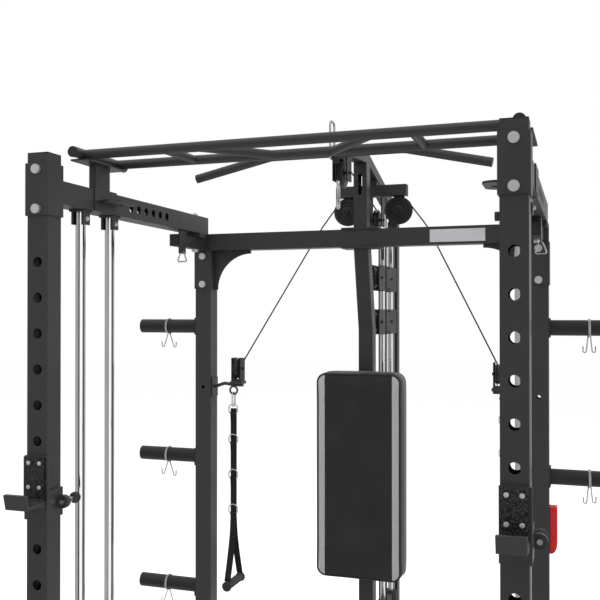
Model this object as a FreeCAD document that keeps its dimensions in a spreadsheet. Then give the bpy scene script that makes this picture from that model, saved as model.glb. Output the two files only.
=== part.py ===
import FreeCAD, Part
import math
import os
import re

import Sketcher

# Power cage with a rear cable tower, in millimetres.
# X to the right, Y to the back, Z up; the origin is on the floor, midway between the four posts.

V = FreeCAD.Vector

DIMS = {
    # four-post frame
    "tube": 60, "wall": 3, "span_x": 1170, "span_y": 1023,
    "front_top": 2100, "rear_top": 1924, "foot_t": 8, "foot_x": 150, "foot_y": 110,
    "hole_d": 26, "hole_pitch": 91, "hole_first": 1825, "anchor_d": 13, "anchor_out_x": 52.5,
    "anchor_out_y": 30, "cap_t": 4, "beam_low": 1979, "beam_gap": 51.5,
    "cross_low": 1924,
    # clamp plates and gussets
    "clamp_low": 1943, "clamp_tall": 134, "clamp_t": 4, "clamp_fit": 0.3, "bolt_step": 101,
    "saddle_tall": 138, "saddle_t": 3, "gusset_size": 142, "gusset_t": 6,
    "stub_wide": 30, "stub_tall": 40, "stub_front": 241,
    # pull-up frame
    "bar_d": 27, "bar_z": 2134, "bar_front": -328, "bar_back": -150, "bar_mid": -240,
    "rail_front": -378, "rail_back": -106, "post_x": 22, "post_y": 77, "flange_t": 5,
    # twin guide rods at each side
    "rod_d": 28, "rod_front": -340, "rod_rear": -184, "rod_low": 86, "rod_top": 1979,
    # plate pegs
    "peg_d": 50, "peg_long": 226, "peg_top": 1649, "peg_step": 476, "peg_flange": 62,
    # tower
    "col": 50, "col_wall": 3, "col_face": 565, "col_bend": 1637, "col_lean": 68,
    "mast_top": 2212, "boom_peak": 2253, "boom_peak_y": 520, "boom_wide": 40,
    "boom_back_y": 1065, "boom_front_y": 196, "boom_nose_z": 2212, "boom_tail_z": 2105,
    "arm_long": 244, "arm_tall": 40, "arm_y": 680, "arm_low": 2118,
    "tail_y": 1040, "tail_tube": 40, "tower_foot": 520,
    "rod_a": 846, "rod_b": 992, "guide_d": 25, "guide_low": 76, "guide_top": 1990,
    # wheels
    "wheel_d": 100, "wheel_wide": 22, "wheel_bore": 10, "axle_d": 9.9, "cable_d": 5,
    "groove_deep": 7, "small_d": 78, "cross_x": 94, "cross_z": 2066,
    "lat_front_y": 250, "lat_front_z": 2140, "lat_back_y": 745, "lat_back_z": 2040,
    "block_hi": 1828, "block_lo": 1664, "block_y1": 745,
    # carriages
    "load_z": 530, "load_tall": 150, "bush_gap": 0.05, "smith_z": 760, "smith_d": 28,
    "smith_long": 2010, "sleeve_d": 50, "sleeve_out": 87,
    # lat bar
    "cable_low": 2111, "lat_d": 28, "lat_half": 472, "lat_wing": 214, "lat_drop": 57,
    # back pad
    "pad_wide": 296, "pad_tall": 698, "pad_deep": 85, "pad_low": 795, "pad_corner": 36,
    "pad_front": 450, "board_t": 12,
    # swivel pulleys and handles
    "swing_z": 1428, "swing_in": 108, "swivel_z": 1497, "swivel_in": 125,
    # hook cups
    "cup_low": 1172, "cup_tall": 160, "cup_wide": 62,
}

doc = FreeCAD.newDocument("power_cage")
sheet = doc.addObject("Spreadsheet::Sheet", "dims")
for row, (alias, value) in enumerate(DIMS.items(), start=1):
    sheet.set("A%d" % row, alias)
    sheet.set("B%d" % row, str(value))
    sheet.setAlias("B%d" % row, alias)
doc.recompute()

WORD = re.compile(r"[a-z_][a-z_0-9]*")
PIECES = {}
count = 0


def val(alias):
    """The value of one sheet cell."""
    return float(sheet.get(alias))


def bind(obj, prop, text):
    """Tie a property to an expression over sheet aliases."""
    words = WORD.sub(lambda m: "dims." + m.group(0) if m.group(0) in DIMS else m.group(0), str(text))
    obj.setExpression(prop, words)


def fresh(kind, name):
    """A new document object with a numbered working name."""
    global count
    count += 1
    return doc.addObject(kind, "%s_%03d" % (name, count))


def place(obj, pos):
    """Bind the three placement coordinates."""
    for axis, text in zip("xyz", pos):
        bind(obj, "Placement.Base.%s" % axis, text)
    return obj


def box(size, pos, name="block"):
    """A box from its size and its lowest corner."""
    obj = fresh("Part::Box", name)
    for prop, text in zip(("Length", "Width", "Height"), size):
        bind(obj, prop, text)
    return place(obj, pos)


def mid_box(size, centre, name="block"):
    """A box from its size and its centre."""
    low = ["(%s) - (%s) / 2" % (c, s) for c, s in zip(centre, size)]
    return box(size, low, name)


TURN = {
    "z": FreeCAD.Rotation(),
    "x": FreeCAD.Rotation(V(0, 1, 0), 90),
    "y": FreeCAD.Rotation(V(1, 0, 0), -90),
    "-z": FreeCAD.Rotation(V(1, 0, 0), 180),
    "-x": FreeCAD.Rotation(V(0, 1, 0), -90),
    "-y": FreeCAD.Rotation(V(1, 0, 0), 90),
}


def rod(dia, length, pos, axis="z", name="rod"):
    """A cylinder from its diameter, length and start point along an axis."""
    obj = fresh("Part::Cylinder", name)
    bind(obj, "Radius", "(%s) / 2" % dia)
    bind(obj, "Height", length)
    obj.Placement = FreeCAD.Placement(V(0, 0, 0), TURN[axis])
    return place(obj, pos)


def ball(dia, pos, name="ball"):
    """A sphere."""
    obj = fresh("Part::Sphere", name)
    bind(obj, "Radius", "(%s) / 2" % dia)
    return place(obj, pos)


def fuse(parts, name="joined"):
    """One solid from several overlapping ones."""
    obj = fresh("Part::MultiFuse", name)
    obj.Shapes = parts
    return obj


def cut(base, tools, name="cut"):
    """A base with tools taken away."""
    obj = fresh("Part::Cut", name)
    obj.Base = base
    obj.Tool = tools[0] if len(tools) == 1 else fuse(tools)
    return obj


def group(parts, name="group"):
    """Several separate solids under one node."""
    obj = fresh("Part::Compound", name)
    obj.Links = parts
    return obj


def node(obj, label):
    """Put an object under a written sub-part; several under one label are separate solids."""
    PIECES.setdefault(label, []).append(obj)
    return obj


def coded(shape, name="coded"):
    """A feature whose shape is made in code from sheet values."""
    obj = fresh("Part::Feature", name)
    obj.Shape = shape
    return obj


def tube_box(size, centre, wall, along):
    """A square tube, open at both ends, along one axis."""
    inner = []
    for axis, text in zip("xyz", size):
        inner.append("(%s) + 2" % text if axis == along else "(%s) - 2 * (%s)" % (text, wall))
    return cut(mid_box(size, centre), [mid_box(inner, centre)], "tube")


def bent_wire(points, radii):
    """Straight runs joined by tangent arcs at the inner points."""
    edges = []
    start = V(*points[0])
    for i in range(1, len(points) - 1):
        corner = V(*points[i])
        back = (V(*points[i - 1]) - corner).normalize()
        ahead = (V(*points[i + 1]) - corner).normalize()
        half = back.getAngle(ahead) / 2
        run = radii[i - 1] / math.tan(half)
        centre = corner + (back + ahead).normalize() * (radii[i - 1] / math.sin(half))
        first = corner + back * run
        last = corner + ahead * run
        middle = centre + (corner - centre).normalize() * radii[i - 1]
        if (first - start).Length > 1e-6:
            edges.append(Part.LineSegment(start, first).toShape())
        edges.append(Part.Arc(first, middle, last).toShape())
        start = last
    edges.append(Part.LineSegment(start, V(*points[-1])).toShape())
    return Part.Wire(edges)


def pipe(points, radii, dia, inner=0.0):
    """A round bar or tube along a bent wire."""
    wire = bent_wire(points, radii)
    first = wire.Edges[0]
    along = first.tangentAt(first.FirstParameter)
    start = first.valueAt(first.FirstParameter)
    solid = wire.makePipe(Part.Face(Part.Wire(Part.makeCircle(dia / 2, start, along))))
    want = math.pi * (dia / 2) ** 2 * wire.Length
    if abs(solid.Volume - want) > 0.02 * want:
        raise RuntimeError("bent bar volume is off: %.1f against %.1f" % (solid.Volume, want))
    if inner:
        core = wire.makePipe(Part.Face(Part.Wire(Part.makeCircle(inner / 2, start, along))))
        solid = solid.cut(core)
    if solid.ShapeType != "Solid":
        solid = Part.Solid(solid) if solid.ShapeType == "Shell" else solid
    return solid


def straight(a, b, dia):
    """A straight round bar between two points."""
    a = V(*a)
    b = V(*b)
    return Part.makeCylinder(dia / 2, (b - a).Length, a, b - a)


def plane_of(body, role):
    """One of a body's origin planes."""
    return [f for f in body.Origin.OriginFeatures if f.Role == role][0]


def sketch_on(body, role, name):
    """A sketch on one of the body's origin planes."""
    obj = body.newObject("Sketcher::SketchObject", name)
    obj.AttachmentSupport = (plane_of(body, role), [""])
    obj.MapMode = "FlatFace"
    return obj


def polyline(sketch, points):
    """A closed outline of straight lines through the points."""
    first = sketch.GeometryCount
    for a, b in zip(points, points[1:] + points[:1]):
        sketch.addGeometry(Part.LineSegment(V(a[0], a[1], 0), V(b[0], b[1], 0)), False)
    last = sketch.GeometryCount
    for i in range(first, last):
        after = i + 1 if i + 1 < last else first
        sketch.addConstraint(Sketcher.Constraint("Coincident", i, 2, after, 1))


def hold(sketch, kind, edge, text, name):
    """A named driving length on one sketch edge."""
    geo = sketch.Geometry[edge]
    delta = geo.EndPoint - geo.StartPoint
    value = delta.x if kind == "DistanceX" else delta.y
    sketch.addConstraint(Sketcher.Constraint(kind, edge, 1, edge, 2, value))
    index = sketch.ConstraintCount - 1
    sketch.renameConstraint(index, name)
    bind(sketch, "Constraints.%s" % name, text if value > 0 else "-(%s)" % text)


def pulley_body(label, dia, turn, pos):
    """A grooved wheel made by a revolution, bored for its axle."""
    body = doc.addObject("PartDesign::Body", "wheel_" + label)
    sketch = sketch_on(body, "XZ_Plane", "profile_" + label)
    outer = val(dia) / 2
    bore = val("wheel_bore") / 2
    half = val("wheel_wide") / 2
    deep = val("groove_deep")
    floor = outer - deep
    slot = val("cable_d") / 2 + 0.3
    points = [(bore, -half), (outer - 8, -half), (outer - 8, -half + 4), (outer, -half + 4),
              (floor, -slot), (floor, slot), (outer, half - 4), (outer - 8, half - 4),
              (outer - 8, half), (bore, half)]
    polyline(sketch, points)
    sketch.addConstraint(Sketcher.Constraint("Vertical", 9))
    hold(sketch, "DistanceY", 9, "wheel_wide", "width")
    turned = body.newObject("PartDesign::Revolution", "spin_" + label)
    turned.Profile = sketch
    turned.ReferenceAxis = (sketch, ["V_Axis"])
    turned.Angle = 360
    body.Placement = FreeCAD.Placement(V(0, 0, 0), TURN[turn])
    place(body, pos)
    return node(body, label)


def plate_body(label, role, points, thick, pos, radius="", corners=()):
    """A flat plate padded from an outline, mid-plane on its sketch."""
    body = doc.addObject("PartDesign::Body", "plate_" + label)
    sketch = sketch_on(body, role, "outline_" + label)
    polyline(sketch, points)
    pad = body.newObject("PartDesign::Pad", "pad_" + label)
    pad.Profile = sketch
    bind(pad, "Length", thick)
    pad.Midplane = True
    doc.recompute()
    if radius:
        chosen = []
        for i, edge in enumerate(pad.Shape.Edges, start=1):
            ends = edge.Vertexes
            long = len(ends) == 2 and abs(edge.Length - val(thick)) < 0.01
            if long:
                chosen.append("Edge%d" % i)
        fillet = body.newObject("PartDesign::Fillet", "round_" + label)
        fillet.Base = (pad, chosen)
        bind(fillet, "Radius", radius)
    place(body, pos)
    return body


SIDES = (("left", -1), ("right", 1))
HALF_X = "span_x / 2"
HALF_Y = "span_y / 2"


def side_x(sign, shift="0"):
    """X of a side's centre line, moved outward by a shift."""
    return "%d * (span_x / 2 + (%s))" % (sign, shift)


# ---- posts, feet and caps ----
HOLES = 19
CLAMP_BOLTS = ["clamp_low + (clamp_tall - bolt_step) / 2 + %d * bolt_step" % k for k in (0, 1)]
SADDLE_BOLTS = ["rear_top - 122", "rear_top - 21"]
BOLT_ROWS = {"front": CLAMP_BOLTS, "rear": SADDLE_BOLTS + ["swing_z"]}
for side, sign in SIDES:
    for end, face, top in (("front", -1, "front_top"), ("rear", 1, "rear_top")):
        x = side_x(sign)
        y = "%d * span_y / 2" % face
        tall = "(%s) - foot_t" % top
        shell = tube_box(("tube", "tube", tall), (x, y, "foot_t + (%s) / 2" % tall), "wall", "z")
        start = "(%s) - tube / 2 - 1" % y
        tools = []
        if end == "front":
            for k in range(HOLES):
                z = "hole_first - %d * hole_pitch" % k
                tools.append(rod("hole_d", "tube + 2", (x, start, z), "y"))
        for z in BOLT_ROWS[end]:
            tools.append(rod("12.5", "tube + 2", (x, start, z), "y"))
        node(cut(shell, tools), "%s_post_%s" % (end, side))

feet = []
for side, sign in SIDES:
    for face in (-1, 1):
        x = side_x(sign, "10")
        y = "%d * (span_y / 2 + 5)" % face
        slab = mid_box(("foot_x", "foot_y", "foot_t"), (x, y, "foot_t / 2"))
        bore = rod("anchor_d", "foot_t + 2",
                   ("%d * (span_x / 2 + anchor_out_x)" % sign,
                    "%d * (span_y / 2 + anchor_out_y)" % face, "-1"))
        feet.append(cut(slab, [bore]))
node(group(feet), "foot_plates")

caps = []
for side, sign in SIDES:
    caps.append(mid_box(("tube", "tube", "cap_t"),
                        (side_x(sign), "-span_y / 2", "front_top + cap_t / 2")))
node(group(caps), "end_caps")

# ---- side beams, clamps and base ----
for side, sign in SIDES:
    x = side_x(sign)
    start = "-span_y / 2 + tube / 2 + clamp_t + clamp_fit"
    length = "span_y / 2 - beam_gap - (%s)" % start
    mid = "((%s) + span_y / 2 - beam_gap) / 2" % start
    shell = tube_box(("tube", length, "tube"), (x, mid, "beam_low + tube / 2"), "wall", "y")
    tools = []
    for k in range(6):
        tools.append(rod("24", "tube + 2", ("(%s) - tube / 2 - 1" % x, "-108 + %d * 47.5" % k,
                                            "beam_low + tube / 2"), "x"))
    tools.append(rod("12.5", "tube + 2", (x, "412", "beam_low - 1")))
    node(cut(shell, tools), "side_beam_%s" % side)
    run = "span_y - tube"
    node(tube_box(("tube", run, "tube"), (x, "0", "foot_t + tube / 2"), "wall", "y"),
         "base_beams")

clamps = []
for side, sign in SIDES:
    x = side_x(sign)
    y = "-span_y / 2"
    grip = "tube + 2 * clamp_fit"
    out = "(%s) + 2 * clamp_t" % grip
    shell = mid_box((out, out, "clamp_tall"), (x, y, "clamp_low + clamp_tall / 2"))
    hollow = mid_box((grip, grip, "clamp_tall + 2"), (x, y, "clamp_low + clamp_tall / 2"))
    holes = []
    for z in CLAMP_BOLTS:
        holes.append(rod("12.5", "tube + 30", (x, "-span_y / 2 - tube / 2 - 15", z), "y"))
    clamps.append(cut(shell, [hollow] + holes))
node(group(clamps), "post_sleeves")

# ---- rear cross beam with its saddles, gussets and stubs ----
cross = tube_box(("span_x + tube", "tube", "tube"),
                 ("0", "span_y / 2", "cross_low + tube / 2"), "wall", "x")
down = []
for x in ("-45", "45"):
    down.append(rod("12.5", "tube + 2", (x, "span_y / 2", "cross_low - 1")))
node(cut(cross, down), "rear_cross_beam")

saddles = []
for side, sign in SIDES:
    x = side_x(sign)
    grip = "tube + 2 * clamp_fit"
    out = "(%s) + 2 * saddle_t" % grip
    mid = (x, "span_y / 2", "rear_top - saddle_tall / 2")
    shell = mid_box((out, out, "saddle_tall"), mid)
    hollow = mid_box((grip, grip, "saddle_tall + 2"), mid)
    holes = [rod("12.5", "tube + 30", (x, "span_y / 2 - tube / 2 - 15", z), "y")
             for z in SADDLE_BOLTS]
    saddles.append(cut(shell, [hollow] + holes))
node(group(saddles), "post_sleeves")

gussets = []
for side, sign in SIDES:
    size = val("gusset_size")
    outline = [(0, 0), (size, 0), (size, -12)]
    for k in range(1, 12):
        a = math.radians(90 - 7.5 * k)
        outline.append((size - (size - 12) * math.cos(a), -size + (size - 12) * math.sin(a)))
    outline += [(12, -size), (0, -size)]
    outline = [(-sign * px, py) for px, py in outline]
    if sign > 0:
        outline = outline[::-1]
    body = plate_body("gusset_" + side, "XZ_Plane", outline, "gusset_t",
                      ("%d * (span_x / 2 - tube / 2 - saddle_t - clamp_fit)" % sign,
                       "span_y / 2", "cross_low - clamp_fit"))
    gussets.append(body)
node(group(gussets), "beam_fittings")

stubs = []
blocks = []
for side, sign in SIDES:
    x = side_x(sign)
    run = "span_y / 2 - tube / 2 - stub_front"
    shell = tube_box(("stub_wide", run, "stub_tall"),
                     (x, "stub_front + (%s) / 2" % run, "cross_low + stub_tall / 2"), "wall", "y")
    stubs.append(cut(shell, [rod("12.5", "stub_tall + 2", (x, "412", "cross_low - 1"))]))
    gap = "beam_low - cross_low - stub_tall"
    pad = mid_box(("tube", "52", gap), (x, "412", "beam_low - (%s) / 2" % gap))
    blocks.append(cut(pad, [rod("12.5", "(%s) + 2" % gap, (x, "412", "beam_low - (%s) - 1" % gap))]))
node(group(stubs), "beam_fittings")
node(group([mid_box(("stub_wide", "2", "stub_tall"),
                    (side_x(sign), "stub_front - 1.2", "cross_low + stub_tall / 2"))
            for side, sign in SIDES]), "end_caps")
node(group(blocks), "beam_fittings")

hangers = []
rings = []
for side, sign in SIDES:
    x = "%d * span_x / 2 + 17" % sign
    strap = mid_box(("4", "50", "beam_low - 1899"), (x, "270", "(beam_low + 1899) / 2"))
    hangers.append(cut(strap, [rod("9", "8", ("(%s) - 4" % x, "270", "1906"), "x")]))
    cx = sign * val("span_x") / 2 + 17
    tri = bent_wire([(cx, 270, 1872), (cx - 18, 270, 1872), (cx, 270, 1917),
                     (cx + 18, 270, 1872), (cx, 270, 1872)], [5, 7, 5])
    start = tri.Edges[0].valueAt(tri.Edges[0].FirstParameter)
    rings.append(coded(tri.makePipe(Part.Face(Part.Wire(Part.makeCircle(2.5, start, V(1, 0, 0)))))))
node(group(hangers), "anchor_plates")
node(group(rings), "chrome_rings")

plate = plate_body("blank_plate", "XZ_Plane", [(-90, -21), (90, -21), (90, 21), (-90, 21)],
                   "1.2", ("329", "span_y / 2 - tube / 2 - 0.6", "1953"))
node(plate, "blank_plate")

# ---- rear base beam and tower base ----
node(tube_box(("span_x - tube", "tube", "tube"),
              ("0", "span_y / 2", "foot_t + tube / 2"), "wall", "x"), "base_beams")
run = "tail_y + tail_tube / 2 - span_y / 2 - tube / 2"
spine = tube_box(("tube", run, "tube"),
                 ("0", "span_y / 2 + tube / 2 + (%s) / 2" % run,
                  "foot_t + tube / 2"), "wall", "y")
node(spine, "base_beams")
node(tube_box(("tower_foot", "tube", "tube"),
              ("0", "tail_y + tail_tube / 2 + tube / 2", "tube / 2"), "wall", "x"),
     "base_beams")

# ---- pull-up frame ----
bars = []
top = val("bar_z")
half = val("span_x") / 2
dia = val("bar_d")
yf = val("bar_front")
yb = val("bar_back")
for y in (yf, yb):
    bars.append(straight((-half, y, top), (half, y, top), dia))
for sign in (-1, 1):
    bars.append(straight((sign * half, val("rail_front"), top + 1),
                         (sign * half, val("rail_back"), top + 1), dia + 2))
for xf, xb in ((-336, -326), (332, 330), (-243, -84), (231, 82)):
    bars.append(straight((xf, yf, top), (xb, yb, top), dia - 3))
node(coded(bars[0].multiFuse(bars[1:]).removeSplitter()), "pullup_frame")

ends = []
for sign in (-1, 1):
    for y, axis in ((yf, "rail_front"), (yb, "rail_back")):
        side = "-y" if axis == "rail_front" else "y"
        shift = "-0.2" if axis == "rail_front" else "0.2"
        ends.append(rod("bar_d + 3", "4", ("%d * span_x / 2" % sign, "%s + %s" % (axis, shift),
                                           "bar_z"), side))
node(group(ends), "end_caps")

posts = []
plates = []
for side, sign in SIDES:
    x = side_x(sign)
    low = "beam_low + tube + 3.3"
    high = "bar_z - bar_d / 2 - flange_t"
    wrap = box(("tube + 6.6", "119", "tube + 3.3"),
               ("(%s) - tube / 2 - 3.3" % x, "bar_mid - 79", "beam_low"))
    hollow = box(("tube + 0.6", "121", "tube + 1.3"),
                 ("(%s) - tube / 2 - 0.3" % x, "bar_mid - 80", "beam_low - 1"))
    posts.append(cut(wrap, [hollow]))
    tall = "(%s) - (%s)" % (high, low)
    shell = tube_box(("post_x", "post_y", tall), (x, "bar_mid", "(%s) + (%s) / 2" % (low, tall)),
                     "4", "z")
    posts.append(shell)
    plates.append(mid_box(("56", "214", "flange_t"), (x, "bar_mid", "(%s) + flange_t / 2" % high)))
node(group(posts), "pullup_supports")
node(group(plates), "pullup_supports")

lugs = []
for side, sign in SIDES:
    at = side_x(sign, "-63.6")
    ear = [mid_box(("60", "70", "6"), (at, "bar_mid - 5", "beam_low + 28"))]
    ear += [rod("60", "6", (at, "bar_mid - 5 + %d" % end, "beam_low + 25")) for end in (-35, 35)]
    lugs.append(cut(fuse(ear), [rod("26", "10", (at, "bar_mid + 2", "beam_low + 23"))]))
node(group(lugs), "anchor_plates")

# ---- guide rods of the guided bar ----
guides = []
grips = []
clamps = []
for side, sign in SIDES:
    for y in ("rod_front", "rod_rear"):
        x = side_x(sign)
        guides.append(rod("rod_d", "rod_top - rod_low - 2", (x, y, "rod_low + 1"), "z", "guide"))
        block = mid_box(("46", "46", "33.8"), (x, y, "rod_low - 1.1"))
        grips.append(cut(block, [rod("rod_d + 0.1", "40", (x, y, "rod_low + 0.9"))]))
        ears = [mid_box(("46", "46", "5"), (x, y, "rod_top - 2.7"))]
        ears += [mid_box(("5", "34", "40"), ("(%s) + %d * (rod_d / 2 + 2.8)" % (x, way), y,
                                             "rod_top - 20.2")) for way in (-1, 1)]
        grips.append(cut(fuse(ears), [rod("rod_d + 0.1", "40", (x, y, "rod_top - 35"))]))
        for way, axis in ((-1, "-x"), (1, "x")):
            face = "(%s) + %d * (rod_d / 2 + 5.4)" % (x, way)
            clamps.append(rod("14", "6", (face, y, "rod_top - 24"), axis))
node(group(guides), "guide_rods")
node(group(grips), "rod_brackets")
node(group(clamps), "frame_bolts")

# ---- plate pegs on the rear posts ----
pegs = []
peg_caps = []
clips = []
for side, sign in SIDES:
    for k in range(3):
        z = "peg_top - %d * peg_step" % k
        base = "%d * (span_x / 2 + tube / 2)" % sign
        axis = "x" if sign > 0 else "-x"
        post = rod("peg_d", "peg_long", (base, "span_y / 2", z), axis)
        flange = mid_box(("5", "tube", "peg_flange"),
                         ("(%s) + %d * 2.5" % (base, sign), "span_y / 2", z))
        core = rod("peg_d - 6", "peg_long", ("(%s) + %d * 5" % (base, sign), "span_y / 2", z), axis)
        pegs.append(cut(fuse([post, flange]), [core]))
        peg_caps.append(rod("peg_d", "6", ("(%s) + %d * (peg_long + 0.2)" % (base, sign),
                                           "span_y / 2", z), axis))
        cx = sign * (val("span_x") / 2 + val("tube") / 2 + 118)
        cy = val("span_y") / 2
        cz = val("peg_top") - k * val("peg_step")
        r = val("peg_d") / 2 + 1.9
        coil = Part.makeTorus(r, 1.5, V(cx, cy, cz), V(1, 0, 0))
        legs = [pipe([(cx, cy + s * 6, cz - r), (cx, cy + s * 10, cz - r - 18),
                      (cx + sign * 8, cy + s * 22, cz - r - 52)], [10], 3) for s in (-1, 1)]
        clips.append(coded(coil.multiFuse(legs)))
node(group(pegs), "plate_pegs")
node(group(peg_caps), "end_caps")
node(group(clips), "chrome_rings")

# ---- bolts ----

def bolt(pos, axis, grip, head="22"):
    """A hexagon-headed bolt shown as head, shank and nut."""
    back = {"y": "-y", "z": "-z", "x": "-x"}[axis]
    spot = dict(zip("xyz", pos))
    end = dict(spot)
    end[axis] = "(%s) + (%s)" % (spot[axis], grip)
    return fuse([rod(head, "9", pos, back), rod("12", "(%s) + 14" % grip, pos, axis),
                 rod("20", "9", (end["x"], end["y"], end["z"]), axis)])


bolts = []
for side, sign in SIDES:
    x = side_x(sign)
    skin = "tube / 2 + clamp_fit + clamp_t"
    for z in CLAMP_BOLTS:
        bolts.append(bolt((x, "-span_y / 2 - (%s)" % skin, z), "y", "tube + 2 * clamp_fit + 2 * clamp_t",
                          "24"))
    skin = "tube / 2 + clamp_fit + saddle_t"
    for z in SADDLE_BOLTS:
        bolts.append(bolt((x, "span_y / 2 - (%s)" % skin, z), "y",
                          "tube + 2 * clamp_fit + 2 * saddle_t", "24"))
    bolts.append(bolt((x, "412", "cross_low"), "z", "beam_low + tube - cross_low", "24"))
node(group(bolts), "frame_bolts")

# ---- tower: leaning column, mast, boom and rear post ----
def side_profile(label, points, wide, thick):
    """A hollow section padded from its side outline and an inner outline."""
    outer = plate_body(label + "_outer", "YZ_Plane", points[0], wide, ("0", "0", "0"))
    if not points[1]:
        return outer
    inner = plate_body(label + "_inner", "YZ_Plane", points[1], "%s - 2 * %s" % (wide, thick),
                       ("0", "0", "0"))
    return cut(outer, [inner], label)


face = val("col_face")
col = val("col")
skin = val("col_wall")
bend = val("col_bend")
lean = val("col_lean") / (val("cross_low") - 6 - bend)
tilt = math.atan(lean)
low = val("foot_t") + val("tube")
high = val("cross_low") - 6


def column_outline(inset, extra):
    """Side outline of the leaning column, moved inward by an inset."""
    front = face + inset
    back = face + col - inset
    front_bend = bend - inset * math.tan(tilt / 2)
    back_bend = bend - (col - inset) * math.tan(tilt / 2)
    return [(front, low - extra), (back, low - extra), (back, back_bend),
            (back - lean * (high + extra - back_bend), high + extra),
            (front - lean * (high + extra - front_bend), high + extra), (front, front_bend)]


node(side_profile("column", (column_outline(0, 0), column_outline(skin, 1)), "col", "col_wall"),
     "tower_column")

flanges = []
for z in ("cross_low - 6", "cross_low + tube"):
    slab = mid_box(("130", "76", "6"), ("0", "span_y / 2 + 4", "(%s) + 3" % z))
    flanges.append(cut(slab, [rod("12.5", "8", (x, "span_y / 2", "(%s) - 1" % z))
                              for x in ("-45", "45")]))
node(group(flanges), "tower_mast")

mast = tube_box(("46", "col", "mast_top - cross_low - tube - 6"),
                ("0", "span_y / 2", "(mast_top + cross_low + tube + 6) / 2"), "col_wall", "z")
node(cut(mast, [mid_box(("14", "80", "70"), ("0", "span_y / 2", "2138"))]), "tower_mast")

mast_z = val("mast_top")
tail_z = val("boom_tail_z")
peak = val("boom_peak")
peak_y = val("boom_peak_y")
nose_y = val("boom_front_y")
back_y = val("boom_back_y")
nose_z = val("boom_nose_z")
mid_y = val("span_y") / 2
boom_out = [(nose_y, nose_z - 20), (mid_y - 25, mast_z), (mid_y + 25, mast_z),
            (back_y, tail_z - 43), (back_y, tail_z), (peak_y, peak), (nose_y, nose_z)]
boom_in = [(nose_y + 4, nose_z - 16), (mid_y - 25, mast_z + 4), (mid_y + 25, mast_z + 4),
           (back_y - 4, tail_z - 38), (back_y - 4, tail_z - 5), (peak_y, peak - 4),
           (nose_y + 4, nose_z - 4)]
node(side_profile("boom", (boom_out, boom_in), "boom_wide", "3"), "tower_boom")

slope = (mast_z - tail_z + 43) / (back_y - mid_y - 25)
y1 = val("arm_y") - 18
y2 = val("arm_y") + 18
arm_top = val("arm_low") + val("arm_tall")
wedge = plate_body("arm_wedge", "YZ_Plane",
                   [(y1, arm_top), (y2, arm_top), (y2, mast_z - slope * (y2 - mid_y - 25)),
                    (y1, mast_z - slope * (y1 - mid_y - 25))], "36", ("0", "0", "0"))
arm = tube_box(("arm_long", "arm_tall", "arm_tall"), ("0", "arm_y", "arm_low + arm_tall / 2"),
               "3", "x")
node(group([arm, wedge]), "cross_arm")
node(group([mid_box(("3", "arm_tall", "arm_tall"),
                    ("%d * (arm_long / 2 + 1.6)" % sign, "arm_y", "arm_low + arm_tall / 2"))
            for side, sign in SIDES]), "end_caps")

tail_top = mast_z - slope * (val("tail_y") + val("tail_tube") / 2 - mid_y - 25)
node(tube_box(("tail_tube", "tail_tube", "%.3f - foot_t - tube" % tail_top),
              ("0", "tail_y", "(%.3f + foot_t + tube) / 2" % tail_top), "3", "z"),
     "tower_rear_post")

plates = [mid_box(("50", "200", "10"), ("0", "920", "guide_top + 5")),
          mid_box(("50", "200", "guide_low - foot_t - tube"),
                  ("0", "920", "(guide_low + foot_t + tube) / 2"))]
node(group(plates), "rod_brackets")
node(group([rod("guide_d", "guide_top - guide_low", ("0", y, "guide_low"))
            for y in ("rod_a", "rod_b")]), "guide_rods")

# ---- wheels and their brackets ----
BLOCK_Y = {1: "block_y1", 2: "(rod_a + rod_b) / 2"}
pulley_body("lat_wheel_front", "wheel_d", "x", ("0", "lat_front_y", "lat_front_z"))
pulley_body("lat_wheel_rear", "small_d", "x", ("0", "lat_back_y", "lat_back_z"))
for side, sign in SIDES:
    pulley_body("cross_wheel_%s" % side, "wheel_d", "y", ("%d * cross_x" % sign, "arm_y", "cross_z"))
    pulley_body("swivel_wheel_%s" % side, "small_d", "x",
                ("%d * (span_x / 2 - swivel_in)" % sign, "span_y / 2", "swivel_z"))
for tag in ("hi", "lo"):
    for k in (1, 2):
        pulley_body("block_wheel_%s_%d" % (tag, k), "small_d", "x",
                    ("0", BLOCK_Y[k], "block_%s" % tag))


def cheeks(size, centre, axis, gap, axles, extra=(), ways=(-1, 1)):
    """Cheek plates beside a wheel with its axles, as one piece."""
    parts = []
    for s in ways:
        mid = dict(zip("xyz", centre))
        mid[axis] = "(%s) + %d * (%s + 2)" % (mid[axis], s, gap)
        parts.append(mid_box(size, (mid["x"], mid["y"], mid["z"])))
    for pos, dia in axles:
        start = dict(zip("xyz", pos))
        start[axis] = "(%s) - (%s) - 9" % (start[axis], gap)
        parts.append(rod(dia, "2 * (%s) + 18" % gap, (start["x"], start["y"], start["z"]), axis))
    return fuse(parts + list(extra))


brackets = []
brackets.append(cheeks(("4", "56", "100"), ("0", "lat_front_y", "2163"), "x", "20.1",
                       [(("0", "lat_front_y", "lat_front_z"), "axle_d")]))
brackets.append(cheeks(("4", "50", "150"), ("0", "lat_back_y", "2090"), "x", "20.1",
                       [(("0", "lat_back_y", "lat_back_z"), "axle_d")]))
node(group(brackets), "wheel_brackets")

brackets = []
for side, sign in SIDES:
    x = "%d * cross_x" % sign
    brackets.append(cheeks(("36", "4", "82"), (x, "arm_y", "arm_low - 41"), "y", "14",
                           [((x, "arm_y", "cross_z"), "axle_d")],
                           [rod("22", "8", (x, "arm_y - 23", "cross_z"), "y")], (1,)))
node(group(brackets), "wheel_brackets")

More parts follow.
